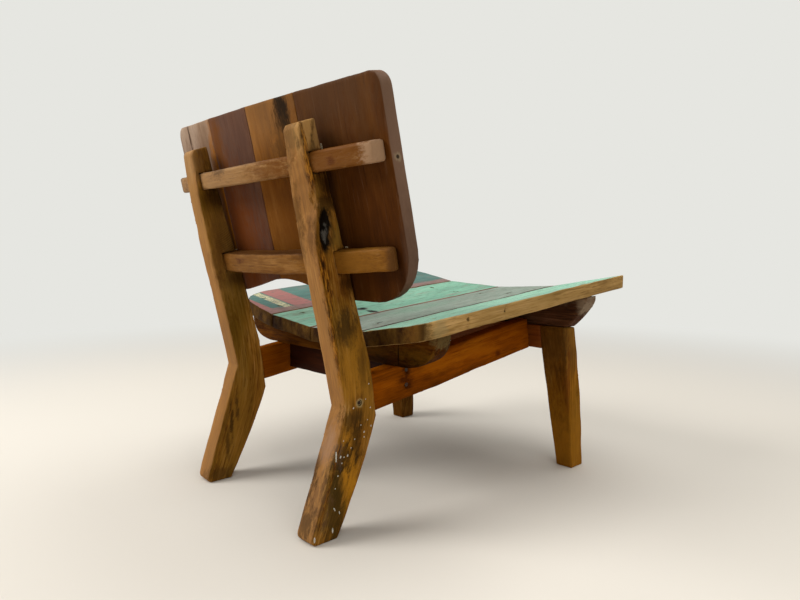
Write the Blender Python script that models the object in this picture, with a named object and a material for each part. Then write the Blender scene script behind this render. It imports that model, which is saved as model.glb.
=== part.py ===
"""Low lounge chair of reclaimed teak: two dogleg rear legs, a sloping frame, a dished seat of four
painted planks on two bearers, and a bowed back of four upright boards on two let-in battens.

Metres, +Z up. The sitter faces -Y and +X is on the sitter's left. The chair stands on z = 0, centred
on the origin. Inside the functions y is measured from the heel line, a line across the rear feet just
in front of their heels, and HEEL_Y moves it.
"""
import math

import bmesh
import bpy
from mathutils import Matrix, Vector

for old in list(bpy.data.objects):
    bpy.data.objects.remove(old, do_unlink=True)

# Fits and rounding
FIT = 0.0003                # gap between any two pieces that touch
EASE = 0.003                # worn, rounded-over edges of the thick timbers
BOARD_EASE = 0.0025         # rounded-over edges of the boards, planks and bearers
BATTEN_EASE = 0.005         # heavily worn edges of the battens
ROUND_SIDES = 12            # facets round every nail, screw and peg

# Rear legs: sawn doglegs, foot raked back below the knee, upright leaning back above it
LEG_SPREAD = 0.454          # over the outer faces
LEG_THICK = 0.0465
LEG_HEIGHT = 0.741          # top of the upright at its back edge
FOOT_DEPTH = 0.0625         # front to back at the floor, before the heel is rounded
HEEL_SET = 0.008            # the heel, behind the heel line
SHIN_BELLY = 0.0055         # the foot's front edge swells forward by this in the middle
HEEL_ROUND = 0.012          # the feet's worn heels are rounded
KNEE_SET = 0.076            # back of the knee, in front of the heel line
KNEE_DEPTH = 0.074          # front to back at the knee
KNEE_HEIGHT_RIGHT = 0.236   # back of the knee above the floor; the two legs were sawn by eye
KNEE_HEIGHT_LEFT = 0.260
KNEE_DROP_RIGHT = 0.024     # front of the knee, below the back of it
KNEE_DROP_LEFT = 0.060
BEND_RISE = 0.101           # upright front edge turns here, above the right knee's front
BEND_SET = 0.014            # and this far behind the front of the knee
TOP_LEAN = 0.019            # top of the upright, behind the heel line
TOP_DEPTH = 0.034           # front to back at the top
TOP_RISE = 0.008            # front of the top above the back of it
TOP_ROUND = 0.012           # rounded back corner of the top
BACK_BULGE = 0.008          # upright back edge swells this much, two thirds of the way up
WANE_DEPTH = 0.021          # waney outer back corner of the right upright
WANE_HEIGHT = 0.622
WANE_LENGTH = 0.200

# Side rails, tenoned into the rear legs and into the front cross rail
RAIL_THICK = 0.035
RAIL_SET_IN = 0.007         # outer face inside the legs' outer faces
RAIL_DEPTH = 0.074
RAIL_HEIGHT = 0.2175        # underside above the floor, at the front of the knee
RAIL_RISE = 0.139           # slope, up toward the front
TENON_THICK = 0.016
TENON_DEPTH = 0.040
TENON_LENGTH = 0.052        # into the rear legs
STUB_LENGTH = 0.018         # every shorter tenon
PEG_DIAMETER = 0.009
PEG_BACK = 0.036            # peg, behind the tenon's shoulder
PEG_DROP = 0.011            # and below the tenon's middle

# Front legs: tapered, raked forward, with the cross rail between them
FRONT_SPREAD = 0.644        # over the outer faces
FRONT_SET = 0.684           # back of the front feet, in front of the heel line
FRONT_RAKE = 0.045          # the top stands this far behind the foot
FRONT_HEIGHT = 0.344
FRONT_TOP_WIDTH = 0.068
FRONT_FOOT_WIDTH = 0.044
FRONT_TAPER_DROP = 0.063    # the inner taper starts this far below the top
FRONT_TOP_DEPTH = 0.042
FRONT_FOOT_DEPTH = 0.047
FRONT_SWELL = 0.008         # front edge swells between foot and top
CROSS_THICK = 0.032
CROSS_DEPTH = 0.056         # at the ends
CROSS_BELLY = 0.016         # and this much deeper in the middle
CROSS_TENON_DEPTH = 0.030
CROSS_TENON_LENGTH = 0.030
LEG_STUB_WIDTH = 0.026      # tenon on top of each front leg, into the bearer

# Rear cross rail between the side rails
BACK_CROSS_SET = 0.218      # back face, in front of the heel line
BACK_CROSS_THICK = 0.032
BACK_CROSS_DEPTH = 0.062

# Seat bearers: hollowed on top for the planks, rounded up at the ends
BACK_BEARER_SET = 0.200
BACK_BEARER_THICK = 0.045
BACK_BEARER_LENGTH = 0.662
BACK_BEARER_HEIGHT = 0.0315  # in the middle
BACK_BEARER_REACH = 0.086    # length and height of the rounding under each end
BACK_BEARER_LIFT = 0.056
BACK_BEARER_FULL = 1.0       # 1 for a full round, 0 for a straight chamfer
FRONT_BEARER_INSET = 0.009   # back face in front of the legs' back faces at the top
FRONT_BEARER_THICK = 0.042
FRONT_BEARER_LENGTH = 0.742
FRONT_BEARER_HEIGHT = 0.030
FRONT_BEARER_OVERLAP = 0.006  # the end rounding starts this far inside the legs' outer faces
FRONT_BEARER_LIFT = 0.068
FRONT_BEARER_FULL = 0.3
DOWEL_DIAMETER = 0.010
DOWEL_DEPTH = 0.018          # into each of the two pieces it joins

# Seat: four planks running front to back
INNER_PLANK_WIDTH = 0.182
OUTER_PLANK_WIDTH = 0.190
PLANK_THICK = 0.0315
PLANK_GAP = 0.0016           # open seam between planks
INNER_DISH = 0.011           # rise over an inner plank
OUTER_DISH = 0.0345          # rise over an outer plank
SEAT_BACK_SET = 0.155        # back edge in the middle, in front of the heel line
SEAT_FRONT_SET = 0.806
SEAT_BACK_SKEW = 0.066       # back edge runs out of square, farther back on the right
SEAT_FRONT_SKEW = 0.026      # and the front edge farther forward on the right
BACK_CORNER_LEFT = 0.085     # corner radii seen from above
BACK_CORNER_RIGHT = 0.026
FRONT_CORNER = 0.009
NAIL_INSET = 0.045           # nails, from the plank's inner edge
NAIL_EDGE = 0.024            # outer nails, from the bearer's end

# Back panel: four boards, from the sitter's left to right
BOARD_1_WIDTH = 0.184
BOARD_2_WIDTH = 0.1675
BOARD_3_WIDTH = 0.1675
BOARD_4_WIDTH = 0.219
PANEL_THICK = 0.025
PANEL_GAP = 0.0006           # tight seams between the boards
PANEL_LOW = 0.431            # lowest points of the lower edge
PANEL_HEIGHT = 0.384         # measured up the slope, in the middle
PANEL_SLANT = 0.009          # left end of the top edge above the right end
PANEL_RECLINE = math.radians(12.5)
PANEL_BOW = 0.0165           # middle behind the ends
PANEL_ARCH = 0.034           # lower edge cut up in the middle
PANEL_ARCH_WIDTH = 0.440
PANEL_TOP_CORNER = 0.027
PANEL_LOW_CORNER = 0.090
PANEL_CLEAR = 0.0005         # lower edge in front of the uprights

# Battens: bowed, let into the front edges of the uprights
UPPER_BATTEN_DROP = 0.1275   # middle below the panel's top edge, down the slope
UPPER_BATTEN_DEPTH = 0.036   # up the slope
UPPER_BATTEN_LENGTH = 0.716
UPPER_BATTEN_MID = 0.056     # thickness in the middle
UPPER_BATTEN_END = 0.028
LOWER_BATTEN_DROP = 0.3065
LOWER_BATTEN_DEPTH = 0.041
LOWER_BATTEN_LENGTH = 0.692
LOWER_BATTEN_MID = 0.048
LOWER_BATTEN_END = 0.014
LOWER_BATTEN_SLANT = 0.007   # right end above the left end

# Nails and screws
NAIL_HEAD = 0.0085           # diameters
NAIL_SHANK = 0.0040
NAIL_HEAD_THICK = 0.0016
NAIL_BITE = 0.018            # into the second piece
RAIL_NAIL_PITCH = 0.030
SCREW_HEAD = 0.0090
SCREW_SHANK = 0.0045
SCREW_HEAD_THICK = 0.0025
SCREW_BITE = 0.009           # board screws, into the batten
BATTEN_SCREW_BITE = 0.006    # batten screws, into the thin web behind the notch
HEAD_SINK = 0.0006           # heads sit this far below the surface

# Values that follow from the sizes above
LEG_OUT = LEG_SPREAD / 2
LEG_IN = LEG_OUT - LEG_THICK
KNEE_FRONT = -(KNEE_SET + KNEE_DEPTH)
RAIL_OUT = LEG_OUT - RAIL_SET_IN
RAIL_IN = RAIL_OUT - RAIL_THICK
RAIL_MID = (RAIL_OUT + RAIL_IN) / 2
FRONT_OUT = FRONT_SPREAD / 2
FRONT_IN = FRONT_OUT - FRONT_TOP_WIDTH
FRONT_BEARER_REACH = FRONT_BEARER_LENGTH / 2 - FRONT_OUT + FRONT_BEARER_OVERLAP
SEAT_HALF = INNER_PLANK_WIDTH + OUTER_PLANK_WIDTH
PANEL_WIDTH = BOARD_1_WIDTH + BOARD_2_WIDTH + BOARD_3_WIDTH + BOARD_4_WIDTH
PANEL_HALF = PANEL_WIDTH / 2
HEEL_Y = (SEAT_FRONT_SET + SEAT_FRONT_SKEW * SEAT_HALF - TOP_LEAN) / 2


# Materials: one for each kind of timber, paint or metal
def material(name, colour, roughness, metallic=0.0):
    made = bpy.data.materials.new(name)
    made.use_nodes = True
    shader = made.node_tree.nodes["Principled BSDF"]
    shader.inputs["Base Color"].default_value = (*colour, 1.0)
    shader.inputs["Roughness"].default_value = roughness
    shader.inputs["Metallic"].default_value = metallic
    return made


TEAK_LEG = material("weathered_teak", (0.30, 0.17, 0.07), 0.55)
TEAK_RAIL = material("orange_teak", (0.36, 0.15, 0.04), 0.50)
TEAK_DARK = material("dark_teak", (0.08, 0.04, 0.02), 0.55)
TEAK_BATTEN = material("golden_teak", (0.33, 0.18, 0.07), 0.50)
BOARD_GREY = material("grey_brown_board", (0.25, 0.17, 0.12), 0.55)
BOARD_PLUM = material("plum_brown_board", (0.12, 0.06, 0.04), 0.50)
BOARD_ORANGE = material("orange_brown_board", (0.25, 0.11, 0.04), 0.50)
BOARD_DARK = material("dark_brown_board", (0.08, 0.04, 0.02), 0.50)
PAINT_TEAL = material("worn_teal_paint", (0.13, 0.26, 0.23), 0.60)
PAINT_GREEN = material("worn_green_paint", (0.28, 0.50, 0.38), 0.60)
PAINT_GREY = material("worn_grey_green_paint", (0.27, 0.35, 0.30), 0.60)
PAINT_PALE = material("worn_pale_green_paint", (0.36, 0.58, 0.45), 0.60)
STEEL = material("dull_steel", (0.10, 0.09, 0.08), 0.55, 1.0)
PEG_WOOD = material("peg_teak", (0.22, 0.12, 0.05), 0.60)

CHAIR = bpy.data.objects.new("chair", None)
bpy.context.scene.collection.objects.link(CHAIR)


# Mesh helpers
def add_object(name, mesh, place, made_of):
    mesh.materials.clear()
    mesh.materials.append(made_of)
    thing = bpy.data.objects.new(name, mesh)
    bpy.context.scene.collection.objects.link(thing)
    thing.parent = CHAIR
    thing.matrix_world = place
    return thing


def solid(name, rings, made_of, ease=0.0):
    """Closed body through matching rings of points, with flat caps and rounded-over edges."""
    points = [Vector(p) for ring in rings for p in ring]
    centre = sum(points, Vector()) / len(points)
    shape = bmesh.new()
    loops = [[shape.verts.new(Vector(p) - centre) for p in ring] for ring in rings]
    for near, far in zip(loops, loops[1:]):
        for i in range(len(near)):
            j = (i + 1) % len(near)
            shape.faces.new((near[i], near[j], far[j], far[i]))
    shape.faces.new(list(reversed(loops[0])))
    shape.faces.new(loops[-1])
    bmesh.ops.recalc_face_normals(shape, faces=shape.faces)
    if ease > 0.0:
        sharp = [e for e in shape.edges if e.calc_face_angle(0.0) > math.radians(30.0)]
        bmesh.ops.bevel(shape, geom=sharp, offset=ease, segments=2, profile=0.5,
                        affect="EDGES", clamp_overlap=True)
    mesh = bpy.data.meshes.new(name)
    shape.to_mesh(mesh)
    shape.free()
    mesh.shade_smooth()
    mesh.set_sharp_from_angle(angle=math.radians(32.0))
    return add_object(name, mesh, Matrix.Translation(centre + Vector((0.0, HEEL_Y, 0.0))), made_of)


def across(outline, x0, x1):
    """Two rings of the same (y, z) outline, at two places across the chair."""
    return [[(x, y, z) for y, z in outline] for x in (x0, x1)]


def box(name, low, high, made_of):
    x0, y0, z0 = low
    x1, y1, z1 = high
    return solid(name, across([(y0, z0), (y1, z0), (y1, z1), (y0, z1)], x0, x1), made_of)


def hide(tool):
    tool.hide_render = True
    tool.display_type = "WIRE"
    return tool


def cut(thing, tool, operation="DIFFERENCE"):
    step = thing.modifiers.new(tool.name, "BOOLEAN")
    step.operation = operation
    step.solver = "EXACT"
    step.object = hide(tool)


def turned(name, profile):
    """Round body from (radius, height) points, first to last, closed on its axis."""
    shape = bmesh.new()
    loops = []
    for radius, height in profile:
        turn = [2 * math.pi * k / ROUND_SIDES for k in range(ROUND_SIDES)]
        loops.append([shape.verts.new((radius * math.cos(a), radius * math.sin(a), height)) for a in turn])
    for near, far in zip(loops, loops[1:]):
        for i in range(ROUND_SIDES):
            j = (i + 1) % ROUND_SIDES
            shape.faces.new((near[i], near[j], far[j], far[i]))
    shape.faces.new(list(reversed(loops[0])))
    shape.faces.new(loops[-1])
    bmesh.ops.recalc_face_normals(shape, faces=shape.faces)
    mesh = bpy.data.meshes.new(name)
    shape.to_mesh(mesh)
    shape.free()
    mesh.shade_smooth()
    mesh.set_sharp_from_angle(angle=math.radians(40.0))
    return mesh


def headed(head, head_thick, shank, length, grow=0.0, above=0.0):
    """Outline of a nail or screw pointing down -Z with its head's top at z = 0."""
    return [(head / 2 + grow, above), (head / 2 + grow, -head_thick - grow),
            (shank / 2 + grow, -head_thick - grow), (shank / 2 + grow, -length - grow)]


def plain_pin(diameter, length, grow=0.0, above=0.0):
    return [(diameter / 2 + grow, above), (diameter / 2 + grow, -length - grow)]


def stance(point, direction):
    """Place of a pin that starts at point and runs along direction."""
    turn = (-Vector(direction)).normalized().to_track_quat("Z", "Y").to_matrix().to_4x4()
    return Matrix.Translation(Vector(point) + Vector((0.0, HEEL_Y, 0.0))) @ turn


def fasten(names, places, profile, hole_profile, made_of, hole_name, pieces):
    """One object for each pin, and one set of clearance holes through the pieces it joins."""
    mesh = turned(hole_name + "_pin", profile)
    for name, place in zip(names, places):
        add_object(name, mesh, place, made_of)
    holes = bmesh.new()
    tool_mesh = turned(hole_name, hole_profile)
    for place in places:
        start = len(holes.verts)
        holes.from_mesh(tool_mesh)
        holes.verts.ensure_lookup_table()
        bmesh.ops.transform(holes, matrix=place, verts=holes.verts[start:])
    holes.to_mesh(tool_mesh)
    holes.free()
    tool = add_object(hole_name, tool_mesh, Matrix.Identity(4), made_of)
    for piece in pieces:
        cut(piece, tool)


# Lines that several pieces share
def knee(side):
    """Back of the knee and front of the knee as (y, z)."""
    height = KNEE_HEIGHT_RIGHT if side < 0 else KNEE_HEIGHT_LEFT
    drop = KNEE_DROP_RIGHT if side < 0 else KNEE_DROP_LEFT
    return (-KNEE_SET, height), (KNEE_FRONT, height - drop)


BEND = (KNEE_FRONT + BEND_SET, KNEE_HEIGHT_RIGHT - KNEE_DROP_RIGHT + BEND_RISE)
TOP_FRONT = (TOP_LEAN - TOP_DEPTH, LEG_HEIGHT + TOP_RISE)


def between(a, b, z):
    """y at height z on the line through two (y, z) points."""
    return a[0] + (b[0] - a[0]) * (z - a[1]) / (b[1] - a[1])


def upright_front(side, z):
    """Front edge of an upright above its knee."""
    if z < BEND[1]:
        return between(knee(side)[1], BEND, z)
    return between(BEND, TOP_FRONT, z)


def upright_back(side, z):
    low = knee(side)[0]
    share = (z - low[1]) / (LEG_HEIGHT - low[1])
    return between(low, (TOP_LEAN, LEG_HEIGHT), z) + BACK_BULGE * 6.75 * share ** 2 * (1 - share)


def wane(side, z):
    """Depth of the waney corner at height z."""
    reach = abs(z - WANE_HEIGHT) / (WANE_LENGTH / 2)
    if side > 0 or reach >= 1.0:
        return 0.0
    return WANE_DEPTH * math.cos(reach * math.pi / 2) ** 2


def rail_under(y):
    return RAIL_HEIGHT + RAIL_RISE * (KNEE_FRONT - y)


def rail_top(y):
    return rail_under(y) + RAIL_DEPTH


def front_back(z):
    """Back faces of the front legs and the front cross rail."""
    return -FRONT_SET + FRONT_RAKE * z / FRONT_HEIGHT


def front_depth(z):
    """Front to back size of a front leg."""
    share = z / FRONT_HEIGHT
    tapered = FRONT_FOOT_DEPTH + (FRONT_TOP_DEPTH - FRONT_FOOT_DEPTH) * share
    return tapered + FRONT_SWELL * 4 * share * (1 - share)


BACK_BEARER_Y = -BACK_BEARER_SET - BACK_BEARER_THICK / 2
FRONT_BEARER_BACK = front_back(FRONT_HEIGHT) - FRONT_BEARER_INSET
FRONT_BEARER_Y = FRONT_BEARER_BACK - FRONT_BEARER_THICK / 2
HOLLOW_BACK = rail_top(BACK_BEARER_Y) + FIT + BACK_BEARER_HEIGHT + FIT
HOLLOW_FRONT = FRONT_HEIGHT + FIT + FRONT_BEARER_HEIGHT + FIT
SEAT_RISE = (HOLLOW_FRONT - HOLLOW_BACK) / (BACK_BEARER_Y - FRONT_BEARER_Y)


def dish(x):
    """Rise of the seat's cross-section, in straight runs, one for each plank."""
    inner = min(abs(x), INNER_PLANK_WIDTH) * INNER_DISH / INNER_PLANK_WIDTH
    outer = max(abs(x) - INNER_PLANK_WIDTH, 0.0) * OUTER_DISH / OUTER_PLANK_WIDTH
    return inner + outer


def seat_under(x, y):
    return HOLLOW_BACK + SEAT_RISE * (BACK_BEARER_Y - y) + dish(x)


# Rear legs. Each is one plank sawn to a dogleg; the right one keeps some wane on its outer back corner.
def heel(back_knee):
    """The rounded heel as (y, z) points, from the floor up to the straight back of the foot."""
    lean = math.atan2(KNEE_SET + HEEL_SET, back_knee[1])
    middle = HEEL_SET - HEEL_ROUND * (1.0 + math.sin(lean)) / math.cos(lean)
    steps = 6
    turns = [-math.pi / 2 + (math.pi / 2 + lean) * i / steps for i in range(steps + 1)]
    return [(middle + HEEL_ROUND * math.cos(a), HEEL_ROUND + HEEL_ROUND * math.sin(a)) for a in turns]


def shin(front_knee, toe):
    """The foot's front edge as (y, z) points between the knee and the toe, swelling forward."""
    steps = 6
    shares = [i / steps for i in range(1, steps)]
    return [(front_knee[0] + (toe[0] - front_knee[0]) * s - SHIN_BELLY * 4.0 * s * (1.0 - s),
             front_knee[1] * (1.0 - s)) for s in shares]


def leg_ring(side, x, waned):
    toe = (HEEL_SET - FOOT_DEPTH, 0.0)
    back_knee, front_knee = knee(side)
    ring = heel(back_knee) + [back_knee]
    steps = 16
    for i in range(1, steps):
        z = back_knee[1] + (LEG_HEIGHT - TOP_ROUND - back_knee[1]) * i / steps
        ring.append((upright_back(side, z) - (wane(side, z) if waned else 0.0), z))
    for i in range(3):
        a = math.pi / 2 * i / 2
        ring.append((TOP_LEAN - TOP_ROUND * (1 - math.cos(a)), LEG_HEIGHT - TOP_ROUND * (1 - math.sin(a))))
    ring += [TOP_FRONT, BEND, front_knee] + shin(front_knee, toe) + [toe]
    return [(x, y, z) for y, z in ring]


def rear_leg(name, side):
    return solid(name, [leg_ring(side, side * LEG_IN, False), leg_ring(side, side * LEG_OUT, True)],
                 TEAK_LEG, EASE)


rear_leg_right = rear_leg("rear_leg_right", -1)
rear_leg_left = rear_leg("rear_leg_left", 1)


# Side rails: the back shoulder follows the leg, the front shoulder follows the raked cross rail.
def crossing(side, height_at):
    """Where a sloping edge of the rail meets the leg's front edge."""
    y = KNEE_FRONT
    for _ in range(20):
        y = upright_front(side, height_at(y)) - FIT
    return y, height_at(y)


def front_crossing(height_at):
    y = -FRONT_SET
    for _ in range(20):
        y = front_back(height_at(y)) + FIT
    return y, height_at(y)


RAIL_TENON_LOW = RAIL_HEIGHT + (RAIL_DEPTH - TENON_DEPTH) / 2
RAIL_STUB_LOW = (front_crossing(rail_under)[1] + FRONT_HEIGHT - CROSS_TENON_DEPTH) / 2


def rail_tenon(side, grow):
    """Block of the back tenon, as low and high corners, grown all round for its mortice."""
    shoulder = KNEE_FRONT + BEND_SET / 2
    xs = sorted((side * (RAIL_MID - TENON_THICK / 2 - grow), side * (RAIL_MID + TENON_THICK / 2 + grow)))
    low = (xs[0], shoulder - 0.5 * TENON_LENGTH, RAIL_TENON_LOW - grow)
    high = (xs[1], shoulder + TENON_LENGTH + grow, RAIL_TENON_LOW + TENON_DEPTH + grow)
    return low, high


def rail_stub(side, grow):
    """Block of the short front tenon."""
    shoulder = front_back(RAIL_STUB_LOW + CROSS_TENON_DEPTH / 2)
    xs = sorted((side * (RAIL_MID - TENON_THICK / 2 - grow), side * (RAIL_MID + TENON_THICK / 2 + grow)))
    low = (xs[0], shoulder - STUB_LENGTH - grow, RAIL_STUB_LOW - grow)
    high = (xs[1], shoulder + STUB_LENGTH, RAIL_STUB_LOW + CROSS_TENON_DEPTH + grow)
    return low, high


def side_rail(name, side, leg):
    front_knee = knee(side)[1]
    foot = crossing(side, rail_under)
    head = crossing(side, rail_top)
    turn = [(front_knee[0] - FIT, front_knee[1])] if foot[1] < front_knee[1] < head[1] else []
    outline = [foot] + turn + [head, front_crossing(rail_top), front_crossing(rail_under)]
    rail = solid(name, across(outline, side * RAIL_IN, side * RAIL_OUT), TEAK_RAIL, EASE)
    for part, block in (("tenon", rail_tenon), ("stub", rail_stub)):
        cut(rail, box(f"{name}_{part}", *block(side, 0.0), TEAK_RAIL), "UNION")
    cut(leg, box(f"{name}_mortice", *rail_tenon(side, FIT), TEAK_RAIL))
    return rail


side_rail_right = side_rail("side_rail_right", -1, rear_leg_right)
side_rail_left = side_rail("side_rail_left", 1, rear_leg_left)


# Front legs: outer face upright, inner face tapered, back and front faces raked forward.
def front_leg(name, side):
    taper_top = FRONT_HEIGHT - FRONT_TAPER_DROP
    levels = [taper_top * i / 6 for i in range(6)] + [taper_top, FRONT_HEIGHT - FRONT_TAPER_DROP / 2, FRONT_HEIGHT]
    rings = []
    for z in levels:
        narrowed = FRONT_FOOT_WIDTH + (FRONT_TOP_WIDTH - FRONT_FOOT_WIDTH) * min(z / taper_top, 1.0)
        x0, x1 = side * FRONT_OUT, side * (FRONT_OUT - narrowed)
        y0, y1 = front_back(z), front_back(z) - front_depth(z)
        rings.append([(x0, y0, z), (x0, y1, z), (x1, y1, z), (x1, y0, z)])
    return solid(name, rings, TEAK_LEG, EASE)


front_leg_right = front_leg("front_leg_right", -1)
front_leg_left = front_leg("front_leg_left", 1)

# Front cross rail between the front legs, raked with them, with a tenon into each leg. Its underside
# hangs lower between the side rails.
def cross_ring(x):
    """Outline of the cross rail at one place across the chair."""
    low = FRONT_HEIGHT - CROSS_DEPTH - CROSS_BELLY * max(1.0 - (x / RAIL_IN) ** 2, 0.0)
    return [(x, front_back(low), low), (x, front_back(FRONT_HEIGHT), FRONT_HEIGHT),
            (x, front_back(FRONT_HEIGHT) - CROSS_THICK, FRONT_HEIGHT), (x, front_back(low) - CROSS_THICK, low)]


CROSS_STEPS = 6
cross_places = [RAIL_IN * i / CROSS_STEPS for i in range(-CROSS_STEPS, CROSS_STEPS + 1)]
cross_places = [-FRONT_IN + FIT] + cross_places + [FRONT_IN - FIT]
front_cross_rail = solid("front_cross_rail", [cross_ring(x) for x in cross_places], TEAK_RAIL, BOARD_EASE)
CROSS_MID_Z = FRONT_HEIGHT - CROSS_DEPTH / 2
CROSS_MID_Y = front_back(CROSS_MID_Z) - CROSS_THICK / 2


def cross_tenon(side, grow):
    xs = sorted((side * (FRONT_IN - CROSS_TENON_LENGTH), side * (FRONT_IN + CROSS_TENON_LENGTH + grow)))
    low = (xs[0], CROSS_MID_Y - TENON_THICK / 2 - grow, CROSS_MID_Z - CROSS_TENON_DEPTH / 2 - grow)
    high = (xs[1], CROSS_MID_Y + TENON_THICK / 2 + grow, CROSS_MID_Z + CROSS_TENON_DEPTH / 2 + grow)
    return low, high


for end, side, leg in (("right", -1, front_leg_right), ("left", 1, front_leg_left)):
    cut(front_cross_rail, box(f"front_cross_tenon_{end}", *cross_tenon(side, 0.0), TEAK_RAIL), "UNION")
    cut(leg, box(f"front_cross_mortice_{end}", *cross_tenon(side, FIT), TEAK_RAIL))
    cut(front_cross_rail, box(f"side_rail_socket_{end}", *rail_stub(side, FIT), TEAK_RAIL))

# Rear cross rail, butted between the side rails and nailed through them, flush with their tops.
BACK_CROSS_FRONT = -BACK_CROSS_SET - BACK_CROSS_THICK
BACK_CROSS_OUTLINE = [(y, rail_top(y) - drop) for y, drop in (
    (-BACK_CROSS_SET, BACK_CROSS_DEPTH), (-BACK_CROSS_SET, 0.0),
    (BACK_CROSS_FRONT, 0.0), (BACK_CROSS_FRONT, BACK_CROSS_DEPTH))]
rear_cross_rail = solid("rear_cross_rail", across(BACK_CROSS_OUTLINE, -RAIL_IN + FIT, RAIL_IN - FIT),
                        TEAK_DARK, BOARD_EASE)


# Seat bearers: the hollow on top follows the planks, the ends are rounded up underneath.
def bearer(name, back, thick, length, reach, rise, full, floor, made_of):
    half = length / 2
    rings = []
    for y in (back, back - thick):
        top = [(x, seat_under(x, y) - FIT) for x in
               (-half, -INNER_PLANK_WIDTH, 0.0, INNER_PLANK_WIDTH, half)]
        low = floor(y) + FIT
        lift = min(rise, top[-1][1] - low - 2 * EASE)
        curve = []
        for i in range(9):
            a = math.pi / 2 * i / 8
            share = full * (1 - math.cos(a)) + (1 - full) * math.sin(a)
            curve.append((half - reach * (1 - math.sin(a)), low + lift * share))
        under = [(x, z) for x, z in reversed(curve)] + [(-x, z) for x, z in curve]
        rings.append([(x, y, z) for x, z in top + under])
    return solid(name, rings, made_of, BOARD_EASE)


rear_seat_bearer = bearer("rear_seat_bearer", -BACK_BEARER_SET, BACK_BEARER_THICK, BACK_BEARER_LENGTH,
                          BACK_BEARER_REACH, BACK_BEARER_LIFT, BACK_BEARER_FULL, rail_top, TEAK_DARK)
front_seat_bearer = bearer("front_seat_bearer", FRONT_BEARER_BACK, FRONT_BEARER_THICK, FRONT_BEARER_LENGTH,
                           FRONT_BEARER_REACH, FRONT_BEARER_LIFT, FRONT_BEARER_FULL,
                           lambda y: FRONT_HEIGHT, TEAK_DARK)

# Stub tenon on each front leg, up into the front bearer
STUB_BACK = FRONT_BEARER_BACK - EASE
STUB_FRONT = front_back(FRONT_HEIGHT) - FRONT_TOP_DEPTH + 2 * EASE
for end, side, leg in (("right", -1, front_leg_right), ("left", 1, front_leg_left)):
    middle = side * (FRONT_OUT - FRONT_TOP_WIDTH / 2)
    for kind, grow, piece, operation in (("stub", 0.0, leg, "UNION"), ("socket", FIT, front_seat_bearer, "DIFFERENCE")):
        low = (middle - LEG_STUB_WIDTH / 2 - grow, STUB_FRONT - grow, FRONT_HEIGHT - EASE)
        high = (middle + LEG_STUB_WIDTH / 2 + grow, STUB_BACK + grow, FRONT_HEIGHT + STUB_LENGTH + grow)
        cut(piece, box(f"front_leg_{kind}_{end}", low, high, TEAK_LEG), operation)


# Seat planks: flat boards at the angles of the dish, with one shared outline seen from above.
def seat_back_edge(x):
    square = -SEAT_BACK_SET - SEAT_BACK_SKEW * x
    radius = BACK_CORNER_LEFT if x > 0 else BACK_CORNER_RIGHT
    into = abs(x) - (SEAT_HALF - radius)
    return square if into <= 0 else square - radius + math.sqrt(max(radius ** 2 - into ** 2, 0.0))


def seat_front_edge(x):
    square = -SEAT_FRONT_SET + SEAT_FRONT_SKEW * x
    into = abs(x) - (SEAT_HALF - FRONT_CORNER)
    return square if into <= 0 else square + FRONT_CORNER - math.sqrt(max(FRONT_CORNER ** 2 - into ** 2, 0.0))


def stations(x0, x1, radius, end):
    """Places across a board for its outline, close together round a corner of the given radius."""
    if abs(abs(x1) - end) > 1e-6:
        return [x0, x1]
    sign = 1.0 if x1 > 0 else -1.0
    arc = [sign * (end - radius * (1 - math.sin(math.pi / 2 * i / 8))) for i in range(9)]
    return [x0] + arc


def seat_plank(name, x0, x1, made_of):
    outer = abs(x1) > INNER_PLANK_WIDTH + 1e-6
    sign = 1.0 if x0 + x1 > 0 else -1.0
    near = x0 + sign * PLANK_GAP / 2
    far = x1 if outer else x1 - sign * PLANK_GAP / 2
    back_radius = BACK_CORNER_LEFT if sign > 0 else BACK_CORNER_RIGHT
    back = [(x, seat_back_edge(x)) for x in stations(near, far, back_radius, SEAT_HALF)]
    front = [(x, seat_front_edge(x)) for x in stations(near, far, FRONT_CORNER, SEAT_HALF)]
    outline = back + front[::-1]
    rings = [[(x, y, seat_under(x, y) + lift) for x, y in outline] for lift in (0.0, PLANK_THICK)]
    return solid(name, rings, made_of, BOARD_EASE)


PLANKS = (("seat_plank_1", INNER_PLANK_WIDTH, SEAT_HALF, PAINT_TEAL),
          ("seat_plank_2", 0.0, INNER_PLANK_WIDTH, PAINT_GREEN),
          ("seat_plank_3", 0.0, -INNER_PLANK_WIDTH, PAINT_GREY),
          ("seat_plank_4", -INNER_PLANK_WIDTH, -SEAT_HALF, PAINT_PALE))
seat_planks = [seat_plank(*plank) for plank in PLANKS]

# Back panel frame: x across, w up the slope, n out of the back face; the bow is set out in flat boards.
UP = Vector((0.0, math.sin(PANEL_RECLINE), math.cos(PANEL_RECLINE)))
OUT = Vector((0.0, math.cos(PANEL_RECLINE), -math.sin(PANEL_RECLINE)))
SEAMS = [PANEL_HALF, PANEL_HALF - BOARD_1_WIDTH, PANEL_HALF - BOARD_1_WIDTH - BOARD_2_WIDTH,
         BOARD_4_WIDTH - PANEL_HALF, -PANEL_HALF]


def bow(x):
    """Back face of the boards, measured out from its middle, in straight runs between the seams."""
    for left, right in zip(SEAMS, SEAMS[1:]):
        if right <= x <= left:
            a, b = (-PANEL_BOW * (s / PANEL_HALF) ** 2 for s in (left, right))
            return a + (b - a) * (x - left) / (right - left)
    return -PANEL_BOW


NEAREST = max(bow(x) for x in (LEG_IN, LEG_OUT, -LEG_IN, -LEG_OUT))
PANEL_FOOT = Vector((0.0, upright_front(1, PANEL_LOW) - PANEL_CLEAR - NEAREST * OUT.y, PANEL_LOW))


def on_panel(x, w, n):
    """World place of a point x across, w up from the panel's lowest edge and n out of its back."""
    return PANEL_FOOT + Vector((x, 0.0, 0.0)) + w * UP + n * OUT


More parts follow.
